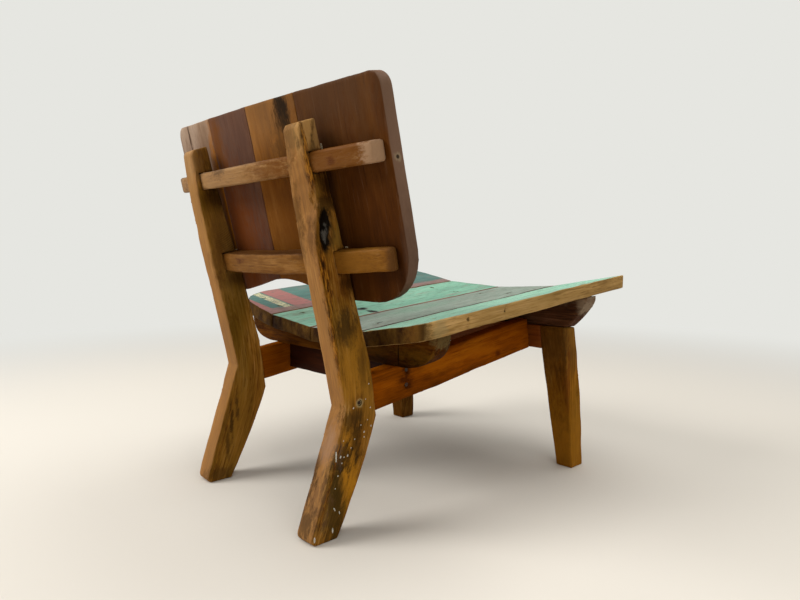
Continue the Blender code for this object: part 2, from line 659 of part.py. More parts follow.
def panel_top(x):
    square = PANEL_HEIGHT + PANEL_SLANT * x / PANEL_WIDTH
    into = abs(x) - (PANEL_HALF - PANEL_TOP_CORNER)
    if into <= 0:
        return square
    return square - PANEL_TOP_CORNER + math.sqrt(max(PANEL_TOP_CORNER ** 2 - into ** 2, 0.0))


def panel_low(x):
    reach = min(abs(x) / (PANEL_ARCH_WIDTH / 2), 1.0)
    arch = PANEL_ARCH * math.cos(reach * math.pi / 2) ** 2
    into = abs(x) - (PANEL_HALF - PANEL_LOW_CORNER)
    if into <= 0:
        return arch
    return arch + PANEL_LOW_CORNER - math.sqrt(max(PANEL_LOW_CORNER ** 2 - into ** 2, 0.0))


def back_board(name, left, right, made_of):
    left_end, right_end = left == PANEL_HALF, right == -PANEL_HALF
    x0 = left if left_end else left - PANEL_GAP / 2
    x1 = right if right_end else right + PANEL_GAP / 2
    steps = 10
    across_board = [x0 + (x1 - x0) * i / steps for i in range(steps + 1)]
    low_xs = top_xs = across_board
    if left_end or right_end:
        inner, outer = (x1, x0) if left_end else (x0, x1)
        sign = 1.0 if left_end else -1.0
        arch_end = sign * (PANEL_HALF - PANEL_LOW_CORNER)
        run = [inner + (arch_end - inner) * i / 5 for i in range(5)]
        low_xs = run + stations(inner, outer, PANEL_LOW_CORNER, PANEL_HALF)[1:]
        top_xs = stations(inner, outer, PANEL_TOP_CORNER, PANEL_HALF)
    outline = [(x, panel_low(x)) for x in low_xs] + [(x, panel_top(x)) for x in reversed(top_xs)]
    rings = [[on_panel(x, w, bow(x) + n) for x, w in outline] for n in (-PANEL_THICK, 0.0)]
    return solid(name, rings, made_of, BOARD_EASE)


BOARD_STOCK = (BOARD_GREY, BOARD_PLUM, BOARD_ORANGE, BOARD_DARK)
back_boards = [back_board(f"back_board_{i + 1}", SEAMS[i], SEAMS[i + 1], BOARD_STOCK[i]) for i in range(4)]


# Battens: front face shaped to the boards, back face one bowed curve, let into the uprights.
class Batten:
    def __init__(self, drop, depth, length, mid, end, slant):
        self.middle = PANEL_HEIGHT - drop
        self.depth = depth
        self.half = length / 2
        self.mid = mid
        self.end = end
        self.slant = slant / length

    def back(self, x):
        """Back face, out from the middle of the boards."""
        fall = self.mid - self.end - bow(self.half)
        return self.mid - fall * (x / self.half) ** 2

    def level(self, x):
        return self.middle - self.slant * x

    def rings(self, grow=0.0, reach=0.0):
        front_xs = [self.half] + [s for s in SEAMS if abs(s) < self.half] + [-self.half]
        back_xs = [-self.half + 2 * self.half * i / 16 for i in range(17)]
        outline = [(x, bow(x) + FIT - reach) for x in front_xs] + [(x, self.back(x) + grow) for x in back_xs]
        lift = self.depth / 2 + grow
        return [[on_panel(x, self.level(x) + w, n) for x, n in outline] for w in (-lift, lift)]


UPPER = Batten(UPPER_BATTEN_DROP, UPPER_BATTEN_DEPTH, UPPER_BATTEN_LENGTH,
               UPPER_BATTEN_MID, UPPER_BATTEN_END, 0.0)
LOWER = Batten(LOWER_BATTEN_DROP, LOWER_BATTEN_DEPTH, LOWER_BATTEN_LENGTH,
               LOWER_BATTEN_MID, LOWER_BATTEN_END, LOWER_BATTEN_SLANT)
upper_batten = solid("upper_batten", UPPER.rings(), TEAK_BATTEN, BATTEN_EASE)
lower_batten = solid("lower_batten", LOWER.rings(), TEAK_BATTEN, BATTEN_EASE)
for word, batten in (("upper", UPPER), ("lower", LOWER)):
    notch = solid(f"{word}_batten_notch", batten.rings(FIT, PANEL_THICK), TEAK_BATTEN)
    cut(rear_leg_right, notch)
    cut(rear_leg_left, notch)

# Seat nails: two through each plank into each bearer, square to the plank.
nail_names, nail_places = [], []
for number, (name, x0, x1, _) in enumerate(PLANKS, start=1):
    outer = abs(x1) > INNER_PLANK_WIDTH + 1e-6
    sign = 1.0 if x0 + x1 > 0 else -1.0
    for row, y, half in (("back", BACK_BEARER_Y, BACK_BEARER_LENGTH / 2),
                         ("front", FRONT_BEARER_Y, FRONT_BEARER_LENGTH / 2)):
        outer_x = half - NAIL_EDGE if outer else abs(x1) - NAIL_INSET
        for letter, x in (("a", sign * (abs(x0) + NAIL_INSET)), ("b", sign * outer_x)):
            tilt = (dish(x1) - dish(x0)) / (x1 - x0)
            square = Vector((-tilt, SEAT_RISE, 1.0)).normalized()
            top = Vector((x, y, seat_under(x, y) + PLANK_THICK)) - HEAD_SINK * square
            nail_names.append(f"seat_nail_{number}{letter}_{row}")
            nail_places.append(stance(top, -square))
NAIL_LENGTH = PLANK_THICK + NAIL_BITE
fasten(nail_names, nail_places,
       headed(NAIL_HEAD, NAIL_HEAD_THICK, NAIL_SHANK, NAIL_LENGTH),
       headed(NAIL_HEAD, NAIL_HEAD_THICK, NAIL_SHANK, NAIL_LENGTH, FIT, 4 * HEAD_SINK),
       STEEL, "seat_nail_holes", seat_planks + [rear_seat_bearer, front_seat_bearer])

# Board screws: one through each board into each batten, from the sitter's side.
screw_names, screw_places = [], []
for number in range(4):
    for word, batten in (("upper", UPPER), ("lower", LOWER)):
        inner, outer = sorted((SEAMS[number], SEAMS[number + 1]), key=abs)
        reach = min(abs(outer), batten.half) * (1.0 if outer > 0 else -1.0)
        x = (inner + reach) / 2 if abs(outer) > batten.half else (SEAMS[number] + SEAMS[number + 1]) / 2
        face = bow(x) - PANEL_THICK + HEAD_SINK
        screw_names.append(f"board_screw_{number + 1}_{word}")
        screw_places.append(stance(on_panel(x, batten.level(x), face), OUT))
BOARD_SCREW = PANEL_THICK + SCREW_BITE
fasten(screw_names, screw_places,
       headed(SCREW_HEAD, SCREW_HEAD_THICK, SCREW_SHANK, BOARD_SCREW),
       headed(SCREW_HEAD, SCREW_HEAD_THICK, SCREW_SHANK, BOARD_SCREW, FIT, 4 * HEAD_SINK),
       STEEL, "board_screw_holes", back_boards + [upper_batten, lower_batten])

# Batten screws: hidden under the boards, through each batten into each upright.
LEG_MID = (LEG_IN + LEG_OUT) / 2
for word, batten, piece in (("upper", UPPER, upper_batten), ("lower", LOWER, lower_batten)):
    through = batten.back(LEG_MID) - bow(LEG_MID)
    names = [f"batten_screw_{word}_right", f"batten_screw_{word}_left"]
    places = [stance(on_panel(x, batten.level(x), bow(x) + FIT + HEAD_SINK), OUT) for x in (-LEG_MID, LEG_MID)]
    fasten(names, places,
           headed(SCREW_HEAD, SCREW_HEAD_THICK, SCREW_SHANK, through + BATTEN_SCREW_BITE),
           headed(SCREW_HEAD, SCREW_HEAD_THICK, SCREW_SHANK, through + BATTEN_SCREW_BITE, FIT, 4 * HEAD_SINK),
           STEEL, f"{word}_batten_screw_holes", [piece, rear_leg_right, rear_leg_left])

# Rail nails: two through each side rail into the end of the rear cross rail.
names, places = [], []
nail_y = -BACK_CROSS_SET - BACK_CROSS_THICK / 2
for end, side in (("right", -1), ("left", 1)):
    for letter, offset in (("a", 0.5), ("b", -0.5)):
        z = rail_top(nail_y) - BACK_CROSS_DEPTH / 2 + offset * RAIL_NAIL_PITCH
        names.append(f"rail_nail_{end}_{letter}")
        places.append(stance((side * (RAIL_OUT - HEAD_SINK), nail_y, z), (-side, 0.0, 0.0)))
fasten(names, places,
       headed(NAIL_HEAD, NAIL_HEAD_THICK, NAIL_SHANK, RAIL_THICK + NAIL_BITE),
       headed(NAIL_HEAD, NAIL_HEAD_THICK, NAIL_SHANK, RAIL_THICK + NAIL_BITE, FIT, 4 * HEAD_SINK),
       STEEL, "rail_nail_holes", [side_rail_right, side_rail_left, rear_cross_rail])

# Pegs through the rail tenons, from the outer faces of the rear legs.
peg_y = KNEE_FRONT + BEND_SET / 2 + PEG_BACK
peg_z = RAIL_TENON_LOW + TENON_DEPTH / 2 - PEG_DROP
PEG_LENGTH = LEG_OUT - LEG_IN - 2 * EASE
fasten(["leg_peg_right", "leg_peg_left"],
       [stance((side * (LEG_OUT - HEAD_SINK), peg_y, peg_z), (-side, 0.0, 0.0)) for side in (-1, 1)],
       plain_pin(PEG_DIAMETER, PEG_LENGTH), plain_pin(PEG_DIAMETER, PEG_LENGTH, FIT, 4 * HEAD_SINK),
       PEG_WOOD, "leg_peg_holes", [rear_leg_right, rear_leg_left, side_rail_right, side_rail_left])

# Pegs through the front cross rail's tenons, from the front faces of the front legs.
front_peg_y = front_back(CROSS_MID_Z) - front_depth(CROSS_MID_Z) + HEAD_SINK
front_peg_x = FRONT_IN + CROSS_TENON_LENGTH / 2
FRONT_PEG_LENGTH = front_depth(CROSS_MID_Z) - 2 * EASE
fasten(["front_peg_right", "front_peg_left"],
       [stance((side * front_peg_x, front_peg_y, CROSS_MID_Z), (0.0, 1.0, 0.0)) for side in (-1, 1)],
       plain_pin(PEG_DIAMETER, FRONT_PEG_LENGTH), plain_pin(PEG_DIAMETER, FRONT_PEG_LENGTH, FIT, 4 * HEAD_SINK),
       PEG_WOOD, "front_peg_holes", [front_leg_right, front_leg_left, front_cross_rail])

# Dowels between the side rails and the rear bearer.
fasten(["bearer_dowel_right", "bearer_dowel_left"],
       [stance((side * RAIL_MID, BACK_BEARER_Y, rail_top(BACK_BEARER_Y) + DOWEL_DEPTH), (0.0, 0.0, -1.0))
        for side in (-1, 1)],
       plain_pin(DOWEL_DIAMETER, 2 * DOWEL_DEPTH), plain_pin(DOWEL_DIAMETER, 2 * DOWEL_DEPTH, FIT, FIT),
       PEG_WOOD, "bearer_dowel_holes", [side_rail_right, side_rail_left, rear_seat_bearer])
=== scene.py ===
"""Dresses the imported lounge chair: worn, waxed and painted reclaimed teak over the fixed CAD frame.

Metres, +Z up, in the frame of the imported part: the sitter faces -Y and +X is on the sitter's left.
"""
import math

import bmesh
import bpy
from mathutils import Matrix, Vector, noise


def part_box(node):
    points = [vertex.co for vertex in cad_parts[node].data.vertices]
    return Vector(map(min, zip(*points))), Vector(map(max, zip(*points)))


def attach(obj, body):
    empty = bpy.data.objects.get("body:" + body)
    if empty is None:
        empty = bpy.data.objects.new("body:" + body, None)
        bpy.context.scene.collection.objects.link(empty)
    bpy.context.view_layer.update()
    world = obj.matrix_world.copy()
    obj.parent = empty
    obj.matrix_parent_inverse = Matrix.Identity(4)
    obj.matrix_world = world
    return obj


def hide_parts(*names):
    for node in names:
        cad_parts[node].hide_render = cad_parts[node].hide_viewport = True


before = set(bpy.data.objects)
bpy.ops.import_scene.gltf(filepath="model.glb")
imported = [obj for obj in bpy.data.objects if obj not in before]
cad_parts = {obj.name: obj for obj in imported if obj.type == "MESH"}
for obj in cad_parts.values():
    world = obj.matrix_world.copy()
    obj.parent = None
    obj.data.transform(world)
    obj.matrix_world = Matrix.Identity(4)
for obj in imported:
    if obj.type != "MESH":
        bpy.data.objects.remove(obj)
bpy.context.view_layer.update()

# Rear legs: two thick planks of reclaimed teak, each sawn to a dogleg by eye, rounded by wear and waxed.
# The side rails are tenoned and pegged into the knees, and the battens are let into the front edges.
WELD = 0.00001              # corners this close are one corner
FLAT = math.radians(0.3)    # faces within this angle are one flat face
SOFT_EDGE = math.radians(50.0)
ARRIS = math.radians(16.0)  # faces that meet at more than this make an edge that wears
LONG_SWAY = 0.0010          # hand-sawn stock wanders this far
LONG_SWAY_SPAN = 0.150      # over this length
SHORT_SWAY = 0.0005
SHORT_SWAY_SPAN = 0.045
NIBBLE_SPAN = 0.050         # knocks along the edges are about this long
FOOT_KEEP = 0.020           # below this height the sway dies out, so the feet stand flat
LEG_GRID = 0.008
LEG_NIBBLE = 0.0018         # the deepest knock in an edge
KNOCK_LIFT = 0.15           # lifts the noise, so that rather more than half of each edge is knocked
HOLLOW_RIM = 1.2            # the finer grid is cut this much wider than its hollow
HOLLOW_FACE = 0.8           # faces that look this nearly the hollow's way belong to its face
SWAY_SEED = 7               # one fixed draw of the sway, so that every run gives the same timber

noise.seed_set(SWAY_SEED)


def slice_faces(shape, low, high, grid, inside):
    """Cuts the faces inside a box with evenly spaced planes, along each axis in turn."""
    for axis in range(3):
        square = Vector((0.0, 0.0, 0.0))
        square[axis] = 1.0
        span = high[axis] - low[axis]
        count = math.ceil(span / grid)
        for step in range(1, count):
            faces = [f for f in shape.faces if inside(f)]
            edges = list(dict.fromkeys(e for f in faces for e in f.edges))
            corners = list(dict.fromkeys(v for f in faces for v in f.verts))
            bmesh.ops.bisect_plane(shape, geom=faces + edges + corners, dist=WELD,
                                   plane_co=low + square * (span * step / count), plane_no=square)


def sway(point):
    """How far hand-sawn, worn timber wanders from the true line; one field, so joints stay closed."""
    wander = noise.noise_vector(point / LONG_SWAY_SPAN) * LONG_SWAY
    wander += noise.noise_vector(point / SHORT_SWAY_SPAN) * SHORT_SWAY
    return wander * min(max(point.z / FOOT_KEEP, 0.0), 1.0)


def knocked(corner, nibble):
    """How far a corner of the grid is worn in, where it lies on an edge of the timber."""
    normals = [f.normal for f in corner.link_faces]
    bend = max(a.angle(b, 0.0) for a in normals for b in normals)
    if bend < ARRIS:
        return Vector((0.0, 0.0, 0.0))
    depth = nibble * max(noise.noise(corner.co / NIBBLE_SPAN) + KNOCK_LIFT, 0.0)
    return corner.normal * -depth


def worn(name, grid, nibble, hollows=()):
    """Visible timber over a CAD node: its solid in a fine grid, swayed, with knocked edges and hollows.
    A hollow is its centre, reach, depth, grid and the way its face looks."""
    shape = bmesh.new()
    shape.from_mesh(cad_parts[name].data)
    bmesh.ops.remove_doubles(shape, verts=shape.verts, dist=WELD)
    bmesh.ops.dissolve_limit(shape, angle_limit=FLAT, verts=shape.verts, edges=shape.edges)
    low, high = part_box(name)
    slice_faces(shape, low, high, grid, lambda face: True)
    for centre, reach, depth, fine, looks in hollows:
        middle = Vector(centre)
        out = Vector(looks)
        rim = Vector(reach) * HOLLOW_RIM

        def near(face):
            off = face.calc_center_bounds() - middle
            beside = all(abs(off[axis]) <= rim[axis] + grid for axis in range(3))
            return beside and face.normal.dot(out) > HOLLOW_FACE

        slice_faces(shape, middle - rim, middle + rim, fine, near)
        shape.normal_update()
        for v in shape.verts:
            away = sum(((v.co - middle)[axis] / reach[axis]) ** 2 for axis in range(3))
            if away < 1.0 and v.normal.dot(out) > HOLLOW_FACE:
                v.co -= out * (depth * (1.0 - away) * (1.0 + away))
    shape.normal_update()
    moves = [(v, sway(v.co) + knocked(v, nibble)) for v in shape.verts]
    for v, move in moves:
        v.co += move
    bmesh.ops.recalc_face_normals(shape, faces=shape.faces)
    mesh = bpy.data.meshes.new("worn_" + name)
    shape.to_mesh(mesh)
    shape.free()
    mesh.shade_smooth()
    mesh.set_sharp_from_angle(angle=SOFT_EDGE)
    piece = bpy.data.objects.new("worn_" + name, mesh)
    bpy.context.scene.collection.objects.link(piece)
    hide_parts(name)
    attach(piece, "root")
    return piece


def colour(code):
    """Linear colour from an sRGB hex code."""
    parts = [int(code[i:i + 2], 16) / 255.0 for i in (1, 3, 5)]
    return [p / 12.92 if p <= 0.04045 else ((p + 0.055) / 1.055) ** 2.4 for p in parts] + [1.0]


def add(tree, kind, sets, out=0):
    """Adds a node and gives one of its outputs, or all of them for None. sets holds its settings and its
    inputs: a value, a colour's code, or another node's output, which is linked. stops are a colour ramp's
    places and codes."""
    made = tree.nodes.new("ShaderNode" + kind)
    for key, value in sets.items():
        if key == "stops":
            ramp = made.color_ramp.elements
            while len(ramp) < len(value):
                ramp.new(1.0)
            for stop, (at, code) in zip(ramp, value):
                stop.position = at
                stop.color = colour(code)
        elif isinstance(key, str) and hasattr(made, key):
            setattr(made, key, value)
        elif isinstance(value, bpy.types.NodeSocket):
            tree.links.new(value, made.inputs[key])
        else:
            made.inputs[key].default_value = colour(value) if isinstance(value, str) else value
    return made.outputs if out is None else made.outputs[out]


def calc(tree, operation, *terms):
    """One step of arithmetic; each term is a value or a node's output."""
    return add(tree, "Math", {"operation": operation, **dict(enumerate(terms))})


def overlay(tree, share, under, over):
    """Lays one colour over another, by a share from 0 to 1. A mix of colours takes them at inputs 6 and 7
    and gives output 2."""
    return add(tree, "Mix", {"data_type": "RGBA", 0: share, 6: under, 7: over}, 2)


def between(tree, value, start, full, top=1.0):
    """A share that is 0 where the value is at start, and has grown to top where it is at full."""
    return add(tree, "MapRange", {"Value": value, "From Min": start, "From Max": full, "To Max": top})


def mottle(tree, place, size, detail, rough=0.5):
    """Cloudy noise, whose features are about as large as size."""
    return add(tree, "TexNoise", {"Vector": place, "Scale": 1 / size, "Detail": detail, "Roughness": rough})


WAVE_METRE = 0.314          # a wave texture's scale for waves a metre apart
RING_WANDER = 0.040         # how far a growth ring wanders
CLOUD_SPAN = 0.060          # clouds of tone, and the wander of the rings, are a few fingers wide
PATCH_SPAN = 0.075          # patches of another tint
FIBRE_WIDTH = 0.0042        # fibres are 0.3 mm wide in teak; drawn in bundles, as that is what shows
PORE_WIDTH = 0.0022         # pores are 0.3 mm wide too, and drawn coarser for the same reason
CHECK_WIDTH = 0.0036        # drying checks: short dark splits, a few centimetres long
RING_PULL = 0.14            # each pattern is drawn out along the grain; a small share draws it far
FIBRE_PULL = 0.045
CLOUD_PULL = 0.28
CHECK_PULL = 0.10


def timber(tree, tones, turn, heart, ring, figure, straight=None):
    """Sawn teak in the round: growth rings about a heart outside the piece, fibres along the grain, pores
    and slow clouds of tone. tones are its deep, body, pale and patchy tints, turn brings the grain
    upright, ring is the width of a growth ring, and figure weighs rings, fibres, clouds and checks.
    Gives the colour, the fibres, the relief, the place and the place along the grain."""
    place = add(tree, "TexCoord", {}, "Object")
    upright = place if straight is None else straight(tree, place)
    grain = add(tree, "Mapping", {"Vector": upright, "Rotation": turn})
    trunk, thread, drift, split = [
        add(tree, "VectorMath", {"operation": "MULTIPLY", 0: grain, 1: (1.0, 1.0, pull)})
        for pull in (RING_PULL, FIBRE_PULL, CLOUD_PULL, CHECK_PULL)]

    # Growth rings wander slowly along the trunk, so their lines swell and close on the flat faces.
    wander = add(tree, "TexNoise", {"Vector": trunk, "Scale": 1 / CLOUD_SPAN, "Detail": 3.0}, "Color")
    about = add(tree, "VectorMath", {"operation": "MULTIPLY_ADD", 0: wander,
                                     1: (RING_WANDER, RING_WANDER, 0.0), 2: heart})
    around = add(tree, "VectorMath", {"operation": "ADD", 0: grain, 1: about})
    rings = add(tree, "TexWave", {"wave_type": "RINGS", "rings_direction": "Z", "wave_profile": "SAW",
                                  "Vector": around, "Scale": WAVE_METRE / ring}, "Fac")

    # Fibres in bundles, and the pores between them.
    fibre = mottle(tree, thread, FIBRE_WIDTH, detail=4.0, rough=0.62)
    pores = mottle(tree, thread, PORE_WIDTH, detail=1.0)
    pore = between(tree, pores, 0.60, 0.72)

    # Slow change of tone, and the sum of all that the colours are read from.
    cloud = mottle(tree, drift, CLOUD_SPAN, detail=5.0, rough=0.58)
    level = 0.5 - 0.5 * sum(figure[:3])
    lines = calc(tree, "MULTIPLY_ADD", rings, figure[0], level)
    threads = calc(tree, "MULTIPLY_ADD", fibre, figure[1], lines)
    tone = calc(tree, "MULTIPLY_ADD", cloud, figure[2], threads)
    deep, body, pale, patchy = tones
    wood = add(tree, "ValToRGB", {"stops": [(0.28, deep), (0.50, body), (0.72, pale)], "Fac": tone})
    patch = add(tree, "TexNoise", {"noise_dimensions": "4D", "Vector": drift, "W": 7.0,
                                   "Scale": 1 / PATCH_SPAN, "Detail": 4.0})
    tinge = between(tree, patch, 0.46, 0.66, top=0.65)
    wood = overlay(tree, tinge, wood, patchy)
    dark_pore = calc(tree, "MULTIPLY", pore, 0.50)
    seen = overlay(tree, dark_pore, wood, deep)

    # Drying checks over it all, and the relief that goes with the pattern.
    splits = add(tree, "TexNoise", {"noise_dimensions": "4D", "Vector": split, "W": 2.0,
                                    "Scale": 1 / CHECK_WIDTH, "Detail": 2.0})
    check = between(tree, splits, 0.58, 0.70, top=figure[3])
    seen = overlay(tree, check, seen, deep)
    sunk = calc(tree, "MULTIPLY_ADD", pore, -0.5, fibre)
    height = calc(tree, "MULTIPLY_ADD", cloud, 0.8, sunk)
    return seen, fibre, height, place, grain


FRAY_SPAN = 0.009           # the ragged edges of stains
FRAY_PULL = 0.40


def stains_and_painted_light(tree, under, place, grain, marks):
    """Lays marks over a colour: stains, and also painted shadows and painted highlights. A mark is its
    centre, reach, colour, strength, raggedness and softness; the colour is a code or a node's output."""
    drawn = add(tree, "VectorMath", {"operation": "MULTIPLY", 0: grain, 1: (1.0, 1.0, FRAY_PULL)})
    torn = mottle(tree, drawn, FRAY_SPAN, detail=6.0, rough=0.72)
    rag = add(tree, "MapRange", {"clamp": False, "Value": torn, "From Min": 0.34, "From Max": 0.66,
                                 "To Min": -1.0})
    seen = under
    for centre, reach, code, strength, ragged, soft in marks:
        off = add(tree, "VectorMath", {"operation": "SUBTRACT", 0: place, 1: centre})
        share = add(tree, "VectorMath", {"operation": "DIVIDE", 0: off, 1: reach})
        away = add(tree, "VectorMath", {"operation": "LENGTH", 0: share}, "Value")
        frayed = calc(tree, "MULTIPLY_ADD", rag, ragged, away)
        mask = between(tree, frayed, 1.0 + soft, 1.0 - soft, top=strength)
        seen = overlay(tree, mask, seen, code)
    return seen


SLIVER_WIDTH = 0.0036
SLIVER_PULL = 0.16
SLIVER_RAG = 0.6
SLIVER_SOFT = 0.5


def splintered(tree, under, grain, bands):
    """Torn, splintery wood: dark cracks between slivers of rusty gold. A band is its centre, reach and
    strength, along the grain."""
    thin = add(tree, "VectorMath", {"operation": "MULTIPLY", 0: grain, 1: (1.0, 1.0, SLIVER_PULL)})
    torn = mottle(tree, thin, SLIVER_WIDTH, detail=4.0, rough=0.65)
    sliver = add(tree, "ValToRGB", {"stops": [(0.40, "#180c04"), (0.50, "#67390e"), (0.60, "#a9701f")],
                                    "Fac": torn})
    marks = [(centre, reach, sliver, strength, SLIVER_RAG, SLIVER_SOFT)
             for centre, reach, strength in bands]
    return stains_and_painted_light(tree, under, grain, grain, marks)


def facing(tree, under, axis, start, full, code, strength):
    """Lays one colour over the faces that look along an axis, such as backs rubbed paler or sawn ends; it
    also paints sheen, shade or reflection onto one side of a piece.
    """
    normal = add(tree, "NewGeometry", {}, "Normal")
    share = add(tree, "SeparateXYZ", {0: normal}, axis)
    mask = between(tree, share, start, full, top=strength)
    return overlay(tree, mask, under, code)


EDGE_BREAK = 0.30           # how much the fibres break up a rubbed edge
EDGE_START = 0.53           # pointiness at which the rubbing starts
EDGE_FULL = 0.60            # and is full


def edge_wear_and_highlight(tree, under, fibre, code, strength):
    """Lays one colour along the knocked edges, broken up by the fibres."""
    edge = add(tree, "NewGeometry", {}, "Pointiness")
    broken = calc(tree, "MULTIPLY_ADD", fibre, EDGE_BREAK, -EDGE_BREAK / 2)
    total = calc(tree, "ADD", edge, broken)
    mask = between(tree, total, EDGE_START, EDGE_FULL, top=strength)
    return overlay(tree, mask, under, code)


WAXED_IOR = 1.48            # drying oil and beeswax
RELIEF_STRENGTH = 0.7
NOISE_LOW = 0.25            # a noise texture seldom leaves this range
NOISE_HIGH = 0.75


def finish(tree, seen, height, gloss_by, roughness, bump, sheen):
    """Joins colour, roughness and relief to the material's shader. sheen is how much of a closed film's
    mirror gloss is left, 0.5 being all of it; open pores and old wax take most of it away."""
    shader = tree.nodes["Principled BSDF"]
    tree.links.new(seen, shader.inputs["Base Color"])
    rough = add(tree, "MapRange", {"Value": gloss_by, "From Min": NOISE_LOW, "From Max": NOISE_HIGH,
                                   "To Min": roughness[0], "To Max": roughness[1]})
    tree.links.new(rough, shader.inputs["Roughness"])
    relief = add(tree, "Bump", {"Height": height, "Strength": RELIEF_STRENGTH, "Distance": bump})
    tree.links.new(relief, shader.inputs["Normal"])
    shader.inputs["IOR"].default_value = WAXED_IOR
    shader.inputs["Specular IOR Level"].default_value = sheen


def new_material(name):
    """Adds a material and gives it with its node tree."""
    made = bpy.data.materials.new(name)
    made.use_nodes = True
    return made, made.node_tree


KNEE_HEIGHT = 0.23
KNEE_EASE = 0.07            # the grain turns the knee over about this height
MEAN_LEAN = 0.0797          # mean of the foot's and the upright's lean
HALF_TURN = -0.303          # half of the difference between the two


def along_dogleg(tree, place):
    """Straightens the dogleg: the grain follows the foot, eases round the knee, then the upright."""
    axes = add(tree, "SeparateXYZ", {0: place}, None)
    above = calc(tree, "SUBTRACT", axes["Z"], KNEE_HEIGHT)
    square = calc(tree, "MULTIPLY_ADD", above, above, KNEE_EASE ** 2)
    bow = calc(tree, "SQRT", square)
    lean = calc(tree, "MULTIPLY_ADD", above, MEAN_LEAN, axes["Y"])
    back = calc(tree, "MULTIPLY_ADD", bow, HALF_TURN, lean)
    return add(tree, "CombineXYZ", {"X": axes["X"], "Y": back, "Z": axes["Z"]})
